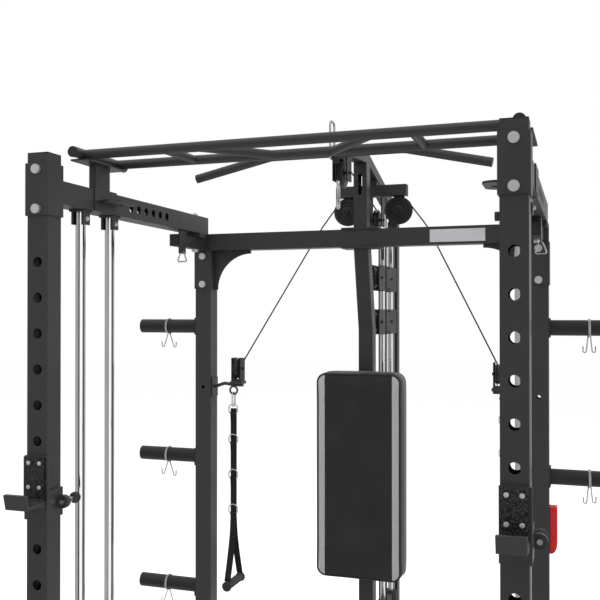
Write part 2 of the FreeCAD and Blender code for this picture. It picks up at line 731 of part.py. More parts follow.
for tag in ("hi", "lo"):
    z = "block_%s" % tag
    deep = "tail_y - tail_tube / 2 - block_y1 + 40"
    node(cheeks(("4", deep, "94"), ("0", "block_y1 - 40 + (%s) / 2" % deep, z), "x", "14",
                [(("0", BLOCK_Y[k], z), "axle_d") for k in (1, 2)]
                + [(("0", BLOCK_Y[2] + " - 51", "%s - 40" % z), "6"),
                   (("0", BLOCK_Y[2] + " - 51", "%s + 40" % z), "6")]),
         "wheel_brackets")

# ---- swivel pulley arms on the rear posts ----
yokes = []
inner = -(val("span_x") - val("tube")) / 2
eye_x = -(val("span_x") / 2 - val("swing_in"))
z = val("swing_z")
plate = Part.makeBox(5, 50, 70, V(inner, mid_y - 25, z - 35))
bar = pipe([(inner + 3, mid_y, z), (eye_x - 35, mid_y, z + 14), (eye_x - 1, mid_y, z + 9),
            (eye_x + 37, mid_y, z + 9)], [30, 60], 12)
rest = Part.makeBox(46, 44, 10, V(eye_x - 6, mid_y - 22, z + 13))
eye = Part.makeTorus(14, 3.5, V(eye_x, mid_y, z - 11), V(0, 1, 0))
arm = plate.multiFuse([bar, rest, eye])
arms = [coded(arm), coded(arm.mirror(V(0, 0, 0), V(1, 0, 0)))]
for side, sign in SIDES:
    x = "%d * (span_x / 2 - swivel_in)" % sign
    yokes.append(cheeks(("4", "44", "84"), (x, "span_y / 2", "swing_z + 65"), "x", "14",
                        [((x, "span_y / 2", "swivel_z"), "axle_d")],
                        [mid_box(("36", "44", "6"), (x, "span_y / 2", "swing_z + 26"))]))
node(group(arms), "swivel_arms")
node(group(yokes), "wheel_brackets")

# ---- cables ----
thick = val("cable_d")
big = val("wheel_d") / 2 - val("groove_deep") + thick / 2 + 0.3
small = val("small_d") / 2 - val("groove_deep") + thick / 2 + 0.3
c1 = (val("lat_front_y"), val("lat_front_z"))
c2 = (val("lat_back_y"), val("lat_back_z"))
dy = c2[0] - c1[0]
dz = c2[1] - c1[1]
gap = math.hypot(dy, dz)
turn = math.asin((big - small) / gap)
heading = math.atan2(dz, dy) - turn
ny = -math.sin(heading)
nz = math.cos(heading)
y_front = c1[0] - big
y_back = c2[0] + small
along = (y_front - c1[0] - ny * big) / math.cos(heading)
p1 = (0, y_front, c1[1] + nz * big + along * math.sin(heading))
along = (y_back - c1[0] - ny * big) / math.cos(heading)
p2 = (0, y_back, c1[1] + nz * big + along * math.sin(heading))
drop = val("load_z") + val("load_tall") / 2 - 18
lat_run = [(0, y_front, val("cable_low")), p1, p2, (0, y_back, drop)]
node(coded(pipe(lat_run, [big, small], thick)), "cables")
print("cable bend radii %.1f, %.1f and 180.0 mm" % (big, small))

for side, sign in SIDES:
    cx = val("cross_x")
    cz = val("cross_z")
    arm_y = val("arm_y")
    end = V(sign * (val("span_x") / 2 - val("swivel_in")), mid_y + small, val("swivel_z") + 12)
    aim = math.atan2(end.z - cz, abs(end.x) - cx)
    reach = math.hypot(abs(end.x) - cx, end.z - cz)
    aim += math.asin(big / reach)
    nx = -math.sin(aim)
    nz = math.cos(aim)
    x_in = cx - big
    step = (x_in - cx - nx * big) / math.cos(aim)
    corner = (sign * x_in, arm_y, cz + nz * big + step * math.sin(aim))
    past = (sign * (cx + nx * big + 110 * math.cos(aim)), arm_y, cz + nz * big + 110 * math.sin(aim))
    tail = (end.x, end.y, end.z)
    node(coded(pipe([(sign * x_in, arm_y, drop), corner, past, tail], [big, 180], thick)),
         "cables")

# ---- loading carriage on the tower rods ----
z_mid = "load_z"
sleeves = [rod("46", "load_tall", ("0", y, "load_z - load_tall / 2")) for y in ("rod_a", "rod_b")]
web = mid_box(("16", "rod_b - rod_a", "load_tall - 20"), ("0", "(rod_a + rod_b) / 2", z_mid))
shelf = box(("124", "170", "10"), ("-62", "664", "load_z + load_tall / 2 - 12"))
core = rod("44", "156", ("-78", "(rod_a + rod_b) / 2", z_mid), "x")
horns = [rod("48", "184", ("%d * 76" % sign, "(rod_a + rod_b) / 2", z_mid),
             "x" if sign > 0 else "-x") for side, sign in SIDES]
solid = fuse(sleeves + [web, shelf, core] + horns)
bores = [rod("guide_d + 2 * bush_gap", "load_tall + 4", ("0", y, "load_z - load_tall / 2 - 2"))
         for y in ("rod_a", "rod_b")]
eyes = [rod("9", "40", (x, y, "load_z + load_tall / 2 - 30"))
        for x, y in (("-(cross_x - %.3f)" % big, "arm_y"), ("cross_x - %.3f" % big, "arm_y"),
                     ("0", "%.3f" % y_back))]
node(cut(solid, bores + eyes), "load_carriage")
collars = []
for side, sign in SIDES:
    ring = rod("58", "11.6", ("%d * 70 - 5.8" % sign, "(rod_a + rod_b) / 2", z_mid), "x")
    collars.append(cut(ring, [rod("44.1", "16", ("%d * 70 - 8" % sign, "(rod_a + rod_b) / 2", z_mid),
                                  "x")]))
node(group(collars), "load_collars")
stops = []
for y in ("rod_a", "rod_b"):
    ring = rod("46", "44", ("0", y, "load_z - load_tall / 2 - 44.2"))
    stops.append(cut(ring, [rod("guide_d", "50", ("0", y, "load_z - load_tall / 2 - 47"))]))
node(group(stops), "rubber_bumpers")

# ---- guided bar ----
mid = "(rod_front + rod_rear) / 2"
for side, sign in SIDES:
    x = side_x(sign)
    sleeves = [rod("46", "120", (x, y, "smith_z - 60")) for y in ("rod_front", "rod_rear")]
    web = mid_box(("22", "rod_rear - rod_front", "90"), (x, mid, "smith_z"))
    hub = rod("52", "56", ("(%s) - 28" % x, mid, "smith_z"), "x")
    bores = [rod("rod_d + 2 * bush_gap", "130", (x, y, "smith_z - 65"))
             for y in ("rod_front", "rod_rear")]
    bores.append(rod("smith_d + 2 * bush_gap", "70", ("(%s) - 35" % x, mid, "smith_z"), "x"))
    node(cut(fuse(sleeves + [web, hub]), bores), "bar_carriages")

inner = "(span_x / 2 + sleeve_out)"
shaft = rod("smith_d", "2 * %s + 20" % inner, ("-1 * %s - 10" % inner, mid, "smith_z"), "x")
sleeves = [rod("sleeve_d", "smith_long / 2 - %s" % inner,
               ("%d * %s" % (sign, inner), mid, "smith_z"), "x" if sign > 0 else "-x")
           for side, sign in SIDES]
rings = [rod("62", "12", ("%d * (%s - 6) - 6" % (sign, inner), mid, "smith_z"), "x")
         for side, sign in SIDES]
node(fuse([shaft] + sleeves + rings), "guided_bar")
hooks = []
for side, sign in SIDES:
    x = side_x(sign, "-46")
    collar = rod("44", "16", ("(%s) - 8" % x, mid, "smith_z"), "x")
    tongue = mid_box(("10", "18", "70"), (x, mid, "smith_z - 48"))
    toe = mid_box(("10", "30", "12"), (x, "(%s) - 12" % mid, "smith_z - 84"))
    hole = rod("smith_d", "30", ("(%s) - 15" % x, mid, "smith_z"), "x")
    hooks.append(cut(fuse([collar, tongue, toe]), [hole]))
node(group(hooks), "bar_hooks")
stops = []
for side, sign in SIDES:
    for y in ("rod_front", "rod_rear"):
        ring = rod("46", "44", (side_x(sign), y, "smith_z - 104.2"))
        stops.append(cut(ring, [rod("rod_d", "50", (side_x(sign), y, "smith_z - 107"))]))
node(group(stops), "rubber_bumpers")

# ---- hook cups with lock pins ----
for side, sign in SIDES:
    cx = "%d * span_x / 2" % sign
    front = "-span_y / 2 - tube / 2 - 0.3"
    low = "cup_low"
    back = box(("68", "8", "cup_tall + 2"), ("(%s) - 32" % cx, "%s - 8" % front, low))
    wing = box(("5.7", "70", "72"), ("(%s) + 30.3" % cx, "%s - 8" % front, "cup_low + 3"))
    outline = [(-2, 22), (-2, 50), (-78, 50), (-82, 78), (-96, 78), (-86, 40), (-30, 40)]
    seat = plate_body("seat_" + side, "YZ_Plane",
                      [(y, z + val("cup_low")) for y, z in outline[::-1]], "cup_wide",
                      (cx, front, "0"))
    peg = rod("24", "52", (cx, "%s - 4" % front, "hole_first - 6 * hole_pitch"), "y")
    barrel = rod("34", "14", ("(%s) + 48" % cx, "%s + 40" % front, "cup_low + 40"), "y")
    tie = box(("14", "14", "26"), ("(%s) + 33" % cx, "%s + 40" % front, "cup_low + 27"))
    hole = rod("12.1", "30", ("(%s) + 48" % cx, "%s + 34" % front, "cup_low + 40"), "y")
    node(cut(fuse([back, wing, seat, peg, barrel, tie]), [hole]), "hook_cups")
    liner = box(("60", "6", "102"), ("(%s) - 30" % cx, "%s - 14.2" % front, "cup_low + 58"))
    tread = box(("60", "62", "7"), ("(%s) - 30" % cx, "%s - 76.5" % front, "cup_low + 50.2"))
    node(group([liner, tread]), "cup_liners")
    shank = rod("12", "60", ("(%s) + 48" % cx, "%s + 36" % front, "cup_low + 40"), "y")
    knob = ball("30", ("(%s) + 48" % cx, "%s + 100" % front, "cup_low + 40"))
    node(fuse([shank, knob]), "lock_pin_%s" % side)
    heads = [rod("11", "3", ("(%s) + %d * 8" % (cx, k), "%s - 14.3" % front, z), "-y")
             for k in (-2, 2) for z in ("cup_low + 84", "cup_low + 145")]
    node(group(heads), "frame_bolts")

# ---- back pad with its board ----
half_w = val("pad_wide") / 2
half_h = val("pad_tall") / 2
pad = plate_body("back_pad", "XZ_Plane",
                 [(-half_w, -half_h), (half_w, -half_h), (half_w, half_h), (-half_w, half_h)],
                 "pad_deep",
                 ("0", "pad_front + pad_deep / 2", "pad_low + pad_tall / 2"), "pad_corner")
node(pad, "back_pad")
board = plate_body("pad_board", "XZ_Plane",
                   [(8 - half_w, 8 - half_h), (half_w - 8, 8 - half_h),
                    (half_w - 8, half_h - 8), (8 - half_w, half_h - 8)], "board_t",
                   ("0", "pad_front + pad_deep + 0.5 + board_t / 2", "pad_low + pad_tall / 2"),
                   "pad_corner")
node(board, "pad_board")
mounts = []
for z in ("pad_low + 120", "pad_low + pad_tall - 120"):
    deep = "col_face - pad_front - pad_deep - board_t - 0.5"
    mounts.append(mid_box(("120", deep, "50"), ("0", "col_face - (%s) / 2" % deep, z)))
node(group(mounts), "pad_board")

# ---- small fittings ----
node(box(("24", "40", "148"), ("span_x / 2 + tube / 2 + 0.3", "span_y / 2 - 19.5", "930")),
     "side_cover")
node(rod("20", "10", ("span_x / 2 - tube / 2 - 0.2", "-span_y / 2 - 18.5", "1899"), "-x"),
     "rubber_bumpers")


# ---- lat hook, lat bar and strap handles ----
def loop_link(centre, tall, wide, dia):
    """A closed oval link standing in the YZ plane."""
    x, y, z = centre
    half_w = wide / 2
    half_t = tall / 2
    r = half_w - 0.01
    pts = [(x, y, z - half_t), (x, y + half_w, z - half_t), (x, y + half_w, z + half_t),
           (x, y - half_w, z + half_t), (x, y - half_w, z - half_t), (x, y, z - half_t)]
    wire = bent_wire(pts, [r, r, r, r])
    start = wire.Edges[0].valueAt(wire.Edges[0].FirstParameter)
    face = Part.Face(Part.Wire(Part.makeCircle(dia / 2, start, V(0, 1, 0))))
    return wire.makePipe(face)


lat_y = nose_y - val("lat_d") / 2 - 1
lat_z = nose_z - 20
lat_r = val("lat_d") / 2
wing = val("lat_wing")
arm_drop = val("lat_drop")
route = [(-val("lat_half"), lat_y, lat_z - arm_drop), (-wing, lat_y, lat_z), (wing, lat_y, lat_z),
         (val("lat_half"), lat_y, lat_z - arm_drop)]
lat = pipe(route, [90, 90], val("lat_d"))
tab = Part.makeBox(18, 4, 30, V(-9, lat_y - 2, lat_z - lat_r - 18))
bore = Part.makeCylinder(4.8, 10, V(0, lat_y - 5, lat_z - lat_r - 10), V(0, 1, 0))
node(coded(lat.fuse(tab.cut(bore))), "lat_bar")
ball_r = 6.5
ball_z = val("cable_low") - 0.3 - ball_r
link = loop_link((0, y_front, ball_z - 45), 74, 26, 7)
ball = Part.makeSphere(ball_r, V(0, y_front, ball_z))
neck = Part.makeCylinder(4.6, 10, V(0, y_front, ball_z - 12))
node(coded(neck.fuse(ball).fuse(link)), "lat_hook")

rod_r = 3.5
front = lat_y - lat_r - 0.3 - rod_r
under = lat_z - lat_r - 0.3 - rod_r
hook_x = -14
foot = Part.makeBox(14, 20, 5, V(hook_x - 5, nose_y + 4, nose_z + 4))
stem = pipe([(hook_x, nose_y + 14, nose_z + 6), (hook_x, nose_y + 14, nose_z + 78),
             (hook_x, front, nose_z + 78), (hook_x, front, under), (hook_x, lat_y + 9, under)],
            [14, 14, 9], 2 * rod_r)
node(coded(foot.fuse(stem)), "chrome_rings")

for side, sign in SIDES:
    hx = sign * (val("span_x") / 2 - val("swing_in"))
    top = val("swing_z") - 18.3
    link = loop_link((hx, mid_y, top - 25), 50, 25, 6)
    node(coded(link), "handle_links_%s" % side)
    fork = top - 480
    strap = Part.makeBox(24, 3, 426, V(hx - 12, mid_y - 1.5, fork - 4))
    legs = []
    for s in (-1, 1):
        pts = [V(hx - 12, mid_y + s * 1.6, fork + 6), V(hx - 12, mid_y - s * 1.4, fork - 4),
               V(hx - 12, mid_y + s * 60, fork - 190), V(hx - 12, mid_y + s * 63, fork - 190)]
        legs.append(Part.Face(Part.makePolygon(pts + [pts[0]])).extrude(V(24, 0, 0)))
    web = strap.multiFuse(legs)
    node(coded(web), "strap_%s" % side)
    rings = []
    for z in (top - 42.9, top - 152, top - 279, top - 405):
        a = bent_wire([(hx, mid_y - 4, z), (hx + 17, mid_y - 4, z), (hx + 17, mid_y - 4, z - 30),
                       (hx - 17, mid_y - 4, z - 30), (hx - 17, mid_y - 4, z), (hx, mid_y - 4, z)],
                      [6, 10, 10, 6])
        start = a.Edges[0].valueAt(a.Edges[0].FirstParameter)
        rings.append(coded(a.makePipe(Part.Face(Part.Wire(Part.makeCircle(2.4, start, V(1, 0, 0)))))))
    node(group(rings), "handle_links_%s" % side)
    z = fork - 190
    grip = Part.makeCylinder(15, 126, V(hx, mid_y - 63, z - 15.1), V(0, 1, 0))
    ends = [Part.makeCylinder(18, 6, V(hx, mid_y + s * 66.1 - 3, z - 15.1), V(0, 1, 0))
            for s in (-1, 1)]
    node(coded(grip.multiFuse(ends)), "grip_%s" % side)

# ---- checks and files ----
doc.recompute()
os.makedirs("parts", exist_ok=True)
for obj in doc.Objects:
    bad = [word for word in obj.State if word in ("Invalid", "Error")]
    if bad:
        raise RuntimeError("%s is %s" % (obj.Label, bad))
nodes = []
for label, parts in PIECES.items():
    whole = parts[0] if len(parts) == 1 else group(parts, label)
    whole.Label = label
    nodes.append(whole)
doc.recompute()
for obj in nodes:
    if obj.Shape.isNull() or not obj.Shape.isValid():
        raise RuntimeError("%s has no valid shape" % obj.Label)
    obj.Shape.exportStep("parts/%s.step" % obj.Label)
    print("%-22s solids %2d  volume %.0f" % (obj.Label, len(obj.Shape.Solids), obj.Shape.Volume))
print("nodes", len(nodes))
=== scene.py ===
"""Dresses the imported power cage: finishes, upholstery, webbing, studio and camera."""

import logging
import math
from dataclasses import dataclass, field
from enum import Enum
from typing import Callable

import bmesh
import bpy
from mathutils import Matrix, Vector


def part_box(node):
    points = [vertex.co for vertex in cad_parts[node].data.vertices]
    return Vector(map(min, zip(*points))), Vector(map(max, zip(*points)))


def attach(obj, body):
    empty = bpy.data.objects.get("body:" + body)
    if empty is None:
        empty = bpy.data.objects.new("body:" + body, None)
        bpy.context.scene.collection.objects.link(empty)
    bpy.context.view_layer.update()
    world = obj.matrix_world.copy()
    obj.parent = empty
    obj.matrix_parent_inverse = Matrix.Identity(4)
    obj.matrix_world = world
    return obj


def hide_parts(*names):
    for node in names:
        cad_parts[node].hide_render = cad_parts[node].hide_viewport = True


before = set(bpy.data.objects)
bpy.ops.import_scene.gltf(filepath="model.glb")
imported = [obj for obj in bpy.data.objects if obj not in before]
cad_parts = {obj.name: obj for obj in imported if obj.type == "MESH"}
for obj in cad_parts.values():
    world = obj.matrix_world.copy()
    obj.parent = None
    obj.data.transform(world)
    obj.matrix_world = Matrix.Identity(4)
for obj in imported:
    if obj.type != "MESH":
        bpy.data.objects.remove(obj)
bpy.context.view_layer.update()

logging.basicConfig(level=logging.INFO, format="%(name)s: %(message)s")
LOG = logging.getLogger("power_cage")

Colour = tuple[float, float, float]
Point = tuple[float, float, float]
Pair = tuple[float, float]
Node = bpy.types.Node
Socket = bpy.types.NodeSocket
Mesh = bmesh.types.BMesh
Vert = bmesh.types.BMVert
Piece = bpy.types.Object

TURN = 2 * math.pi
WHITE = (1.0, 1.0, 1.0, 1.0)
AXES = (Vector((1, 0, 0)), Vector((0, 1, 0)), Vector((0, 0, 1)))
X_AXIS, Y_AXIS, Z_AXIS = AXES
NODE_STEP, NODE_DROP, NODE_ROWS = 190, 120, 4


# ---------------------------------------------------------------- node helpers
class Tree:
    """A small wrapper that adds, places and links shader nodes."""

    def __init__(self, nodes: bpy.types.NodeTree) -> None:
        """Wraps a node tree.

        Args:
            nodes: the tree to fill, which is emptied first.
        """
        self.tree = nodes
        self.tree.nodes.clear()
        self.column = 0

    def add(self, kind: str, **values: object) -> Node:
        """Adds a node, sets its properties and feeds its inputs.

        Args:
            kind: the node type without its ShaderNode prefix.
            values: properties by name, or inputs by name with spaces as underscores.

        Returns:
            The new node.
        """
        node = self.tree.nodes.new(kind if kind.startswith("Node") else "ShaderNode" + kind)
        node.location = (self.column * NODE_STEP, -(self.column % NODE_ROWS) * NODE_DROP)
        self.column += 1
        for key, value in values.items():
            if hasattr(node, key) and key not in node.inputs:
                setattr(node, key, value)
            else:
                self.feed(node, key.replace("_", " "), value)
        return node

    def feed(self, node: Node, key: str | int, value: object) -> None:
        """Links a socket to a node's input, or sets the input to a plain value.

        Args:
            node: the node.
            key: the input's name or number.
            value: a socket or a plain value.
        """
        if isinstance(value, Socket):
            self.tree.links.new(value, node.inputs[key])
        else:
            node.inputs[key].default_value = value

    def math(self, kind: str, first: object, second: object = 0.0, clamp: bool = False) -> Socket:
        """Adds a math node.

        Args:
            kind: the operation.
            first: a socket or a number.
            second: a socket or a number.
            clamp: whether the result is held between 0 and 1.

        Returns:
            The result's socket.
        """
        node = self.add("Math", operation=kind, use_clamp=clamp)
        self.feed(node, 0, first)
        self.feed(node, 1, second)
        return node.outputs[0]

    def vector(self, kind: str, first: Socket, second: object = (0.0, 0.0, 0.0)) -> Socket:
        """Adds a vector math node.

        Args:
            kind: the operation.
            first: a socket.
            second: a socket or a plain vector.

        Returns:
            The socket of its vector, or of the number that it gives.
        """
        node = self.add("VectorMath", operation=kind)
        self.feed(node, 0, first)
        self.feed(node, 1, second)
        return node.outputs["Value" if kind in ("DOT_PRODUCT", "LENGTH") else "Vector"]

    def ramp(self, value: Socket, low: float, high: float) -> Socket:
        """Maps low..high smoothly to 0..1 and returns the result's socket."""
        node = self.add("MapRange", interpolation_type="SMOOTHSTEP", Value=value, From_Min=low,
                        From_Max=high)
        return node.outputs["Result"]

    def mix(self, factor: Socket, first: object, second: object, colours: bool = True) -> Socket:
        """Mixes two colours, or two numbers, by a factor.

        Args:
            factor: how much of the second shows.
            first: a socket or a plain value.
            second: a socket or a plain value.
            colours: whether they are colours.

        Returns:
            The result's socket.
        """
        kind, slot, result = ("RGBA", 6, 2) if colours else ("FLOAT", 2, 0)
        node = self.add("Mix", data_type=kind)
        for key, value in ((0, factor), (slot, first), (slot + 1, second)):
            self.feed(node, key, value)
        return node.outputs[result]

    def place(self) -> Socket:
        """Gives the socket of a piece's own coordinates."""
        return self.add("TexCoord").outputs["Object"]

    def noise(self, scale: object, detail: float = 2.0, rough: float = 0.5,
              place: Socket | None = None) -> Socket:
        """Adds noise.

        Args:
            scale: a socket or a number.
            detail: how many finer layers it has.
            rough: how strong these are.
            place: the coordinates, or None for the piece's own.

        Returns:
            The noise's socket.
        """
        node = self.add("TexNoise", Vector=self.place() if place is None else place, Scale=scale,
                        Detail=detail, Roughness=rough)
        return node.outputs["Fac"]


# ---------------------------------------------------------------- shared effects
class Effect(Enum):
    """The shader node groups that the finishes share."""

    EDGE_WEAR = "edge_wear"
    COAT_GRAIN = "coat_grain"
    DUST = "settled_dust"
    WEAVE = "webbing_weave"
    HIDE = "hide_grain"
    BRUSHING = "drawn_brushing"
    PEBBLE = "pebble_texture"
    RINGS = "turned_rings"


@dataclass
class Effects:
    """Builds each shared node group once and keeps it by name."""

    groups: dict[Effect, bpy.types.NodeTree] = field(default_factory=dict)

    def build(self) -> None:
        """Builds every group."""
        for make in (self.edge_wear, self.coat_grain, self.dust, self.weave, self.hide,
                     self.brushing, self.pebble, self.rings):
            make()

    def start(self, effect: Effect, outputs: tuple[str, ...], **inputs: float
              ) -> tuple[Tree, dict[str, Socket]]:
        """Starts a group with named float sockets.

        Args:
            effect: the group's name.
            outputs: the names of the outputs.
            inputs: the default of each input.

        Returns:
            The tree and the sockets that give the inputs, by name.
        """
        group = bpy.data.node_groups.new(effect.value, "ShaderNodeTree")
        self.groups[effect] = group
        for name, value in inputs.items():
            item = group.interface.new_socket(name, in_out="INPUT", socket_type="NodeSocketFloat")
            item.default_value = value
        for name in outputs:
            group.interface.new_socket(name, in_out="OUTPUT", socket_type="NodeSocketFloat")
        tree = Tree(group)
        return tree, dict(zip(inputs, tree.add("NodeGroupInput").outputs))

    @staticmethod
    def end(tree: Tree, **results: Socket) -> None:
        """Feeds the group's outputs, by name."""
        tree.add("NodeGroupOutput", **results)

    def edge_wear(self) -> None:
        """Makes a mask along sharp edges, broken up by noise."""
        tree, given = self.start(Effect.EDGE_WEAR, ("Mask",), Width=0.0012, Amount=0.5, Break=60.0)
        soft = tree.add("Bevel", samples=4, Radius=given["Width"]).outputs["Normal"]
        flat = tree.add("NewGeometry").outputs["Normal"]
        bend = tree.math("SUBTRACT", 1.0, tree.vector("DOT_PRODUCT", soft, flat))
        patches = tree.ramp(tree.noise(given["Break"], 4.0, 0.65), 0.46, 0.62)
        mask = tree.math("MULTIPLY", tree.ramp(bend, 0.03, 0.25), patches)
        self.end(tree, Mask=tree.math("MULTIPLY", mask, given["Amount"], True))

    def coat_grain(self) -> None:
        """Makes the fine orange peel of a sprayed coat."""
        tree, given = self.start(Effect.COAT_GRAIN, ("Height", "Tone"), Scale=700.0, Patch=7.0)
        tone = tree.ramp(tree.noise(given["Patch"], 5.0, 0.6), 0.3, 0.7)
        self.end(tree, Height=tree.noise(given["Scale"]), Tone=tone)

    def dust(self) -> None:
        """Makes a mask of dust on faces that look up."""
        tree, given = self.start(Effect.DUST, ("Mask",), Amount=0.3, Scale=45.0)
        axes = tree.add("SeparateXYZ", Vector=tree.add("NewGeometry").outputs["Normal"])
        up = tree.ramp(axes.outputs["Z"], 0.55, 1.0)
        patches = tree.ramp(tree.noise(given["Scale"], 6.0, 0.7), 0.3, 0.8)
        mask = tree.math("MULTIPLY", up, patches)
        self.end(tree, Mask=tree.math("MULTIPLY", mask, given["Amount"], True))

    def weave(self) -> None:
        """Makes the over-and-under ribs of flat webbing, with a Shade output that is painted
        darker in the hollows between the ribs.
        """
        tree, given = self.start(Effect.WEAVE, ("Height", "Shade"), Across=620.0, Along=480.0)
        axes = tree.add("SeparateXYZ", Vector=tree.place())
        across = tree.math("MULTIPLY", axes.outputs["X"], given["Across"])
        along = tree.math("MULTIPLY", axes.outputs["Z"], given["Along"])
        warp = tree.math("SINE", tree.math("MULTIPLY", across, TURN))
        step = tree.math("MULTIPLY", tree.math("FLOOR", across), 0.5)
        weft = tree.math("SINE", tree.math("MULTIPLY", tree.math("ADD", along, step), TURN))
        both = tree.math("MULTIPLY", tree.math("ADD", warp, weft), 0.25)
        height = tree.math("ADD", both, 0.5)
        fuzz = tree.math("MULTIPLY", tree.noise(900.0), 0.35)
        # painted shade: Shade is dark in the weave's hollows and light on its raised ribs
        self.end(tree, Height=tree.math("ADD", height, fuzz), Shade=tree.ramp(height, 0.2, 0.8))

    def hide(self) -> None:
        """Makes the small creased cells of coated upholstery."""
        tree, given = self.start(Effect.HIDE, ("Height", "Tone"), Scale=520.0, Patch=9.0)
        cells = tree.add("TexVoronoi", feature="DISTANCE_TO_EDGE", Vector=tree.place(),
                         Scale=given["Scale"])
        crease = tree.ramp(cells.outputs["Distance"], 0.0, 0.16)
        pores = tree.math("MULTIPLY", tree.noise(1400.0, 3.0), 0.3)
        tone = tree.ramp(tree.noise(given["Patch"], 3.0), 0.35, 0.7)
        self.end(tree, Height=tree.math("ADD", crease, pores), Tone=tone)

    def brushing(self) -> None:
        """Makes fine drawn lines that run along X, Y or Z."""
        tree, given = self.start(Effect.BRUSHING, ("Height", "Tone"), X=20.0, Y=900.0, Z=900.0)
        stretch = tree.add("CombineXYZ", **given).outputs["Vector"]
        lines = tree.noise(1.0, 3.0, 0.6, tree.vector("MULTIPLY", tree.place(), stretch))
        self.end(tree, Height=lines, Tone=tree.ramp(tree.noise(14.0, 4.0), 0.3, 0.75))

    def pebble(self) -> None:
        """Makes a moulded pebble texture."""
        tree, given = self.start(Effect.PEBBLE, ("Height", "Tone"), Scale=260.0)
        cells = tree.add("TexVoronoi", feature="SMOOTH_F1", Smoothness=0.6, Vector=tree.place(),
                         Scale=given["Scale"])
        height = tree.math("SUBTRACT", 1.0, cells.outputs["Distance"])
        self.end(tree, Height=height, Tone=tree.ramp(height, 0.35, 0.85))

    def rings(self) -> None:
        """Makes a rim, a groove and a hub about a piece's own centre."""
        tree, given = self.start(Effect.RINGS, ("Height", "Tone"), X=2.0, Y=0.0, Z=2.0)
        place = tree.add("TexCoord").outputs["Generated"]
        middle = tree.vector("SUBTRACT", place, (0.5, 0.5, 0.5))
        weight = tree.add("CombineXYZ", **given).outputs["Vector"]
        radius = tree.vector("LENGTH", tree.vector("MULTIPLY", middle, weight))
        rim = tree.ramp(radius, 0.78, 0.82)
        hub = tree.math("SUBTRACT", 1.0, tree.ramp(radius, 0.34, 0.38))
        off = tree.math("ABSOLUTE", tree.math("SUBTRACT", radius, 0.58))
        line = tree.math("SUBTRACT", 1.0, tree.ramp(off, 0.01, 0.04))
        raised = tree.math("ADD", tree.math("ADD", rim, hub), line)
        self.end(tree, Height=raised, Tone=tree.math("MINIMUM", raised, 1.0))


# ---------------------------------------------------------------- finishes
@dataclass
class Work:
    """A material in the making, with the finish that it follows."""

    finish: "Finish"
    effects: Effects
    tree: Tree
    surface: Node

    def group(self, effect: Effect, **values: float) -> Node:
        """Places a shared group with its own values and returns its node."""
        return self.tree.add("Group", node_tree=self.effects.groups[effect], **values)

    def relief(self, height: Socket, strength: float = 1.0) -> None:
        """Feeds a height, over softened edges, to the shader's normal.

        Args:
            height: the height's socket.
            strength: how strongly the height shows.
        """
        bump = self.tree.add("Bump", Strength=strength, Distance=self.finish.bump, Height=height)
        if self.finish.edge > 0:
            soft = self.tree.add("Bevel", samples=4, Radius=self.finish.edge)
            self.tree.feed(bump, "Normal", soft.outputs["Normal"])
        self.tree.feed(self.surface, "Normal", bump.outputs["Normal"])

    def blend(self, mask: Socket, other: Colour, under: Socket | None = None) -> Socket:
        """Mixes another colour over the base colour by a mask.

        Args:
            mask: where the other colour shows.
            other: that colour.
            under: the colour below, or None for the finish's own colour.

        Returns:
            The mixed colour's socket, which feeds the base colour too.
        """
        below = (*self.finish.colour, 1.0) if under is None else under
        mixed = self.tree.mix(mask, below, (*other, 1.0))
        self.tree.feed(self.surface, "Base Color", mixed)
        return mixed

    def rough(self, tone: Socket, spread: float) -> None:
        """Varies the roughness by a tone about the finish's own value.

        Args:
            tone: the tone's socket.
            spread: how far it goes either way.
        """
        own = self.finish.roughness
        node = self.tree.add("MapRange", Value=tone, To_Min=max(0.02, own - spread),
                             To_Max=min(1.0, own + spread))
        self.tree.feed(self.surface, "Roughness", node.outputs["Result"])


@dataclass(frozen=True)
class Finish:
    """What every finish has: a colour, a roughness, an edge radius and a depth of relief."""

    name: str
    colour: Colour
    roughness: float = 0.45
    metallic: float = 0.0
    edge: float = 0.0015
    bump: float = 0.00004

    def build(self, effects: Effects) -> bpy.types.Material:
        """Builds the material around its Principled shader.

        Args:
            effects: the shared groups.

        Returns:
            The material.
        """
        material = bpy.data.materials.new(self.name)
        material.use_nodes = True
        tree = Tree(material.node_tree)
        surface = tree.add("BsdfPrincipled", Base_Color=(*self.colour, 1.0),
                           Roughness=self.roughness, Metallic=self.metallic)
        tree.add("OutputMaterial", Surface=surface.outputs["BSDF"])
        self.dress(Work(self, effects, tree, surface))
        return material

    def dress(self, work: Work) -> None:
        """Adds what sets the finish apart; a plain one adds nothing."""


@dataclass(frozen=True)
class CoatFinish(Finish):
    """A sprayed and baked coat on steel, a little worn along its edges."""

    worn: Colour = (0.16, 0.16, 0.165)
    wear: float = 0.35
    dusty: float = 0.08

    def dress(self, work: Work) -> None:
        """Adds the orange peel, the worn edges and the dust."""
        grain = work.group(Effect.COAT_GRAIN)
        wear = work.group(Effect.EDGE_WEAR, Width=0.0011, Amount=self.wear)
        dust = work.group(Effect.DUST, Amount=self.dusty)
        base = work.blend(wear.outputs["Mask"], self.worn)
        work.blend(dust.outputs["Mask"], (0.3, 0.3, 0.29), base)
        work.rough(grain.outputs["Tone"], 0.06)
        work.relief(grain.outputs["Height"], 0.6)


@dataclass(frozen=True)
class PlatedFinish(Finish):
    """Bright plating with faint drawn lines and small marks."""

    metallic: float = 1.0
    edge: float = 0.0004
    lines: Point = (900.0, 900.0, 20.0)
    dull: Colour = (0.5, 0.5, 0.5)
    grain: float = 0.35

    def dress(self, work: Work) -> None:
        """Adds the drawn lines and the dull patches."""
        drawn = work.group(Effect.BRUSHING, **dict(zip("XYZ", self.lines)))
        work.rough(drawn.outputs["Tone"], min(0.05, self.roughness * 0.5))
        work.blend(work.tree.math("MULTIPLY", drawn.outputs["Tone"], 0.25), self.dull)
        work.relief(drawn.outputs["Height"], self.grain)


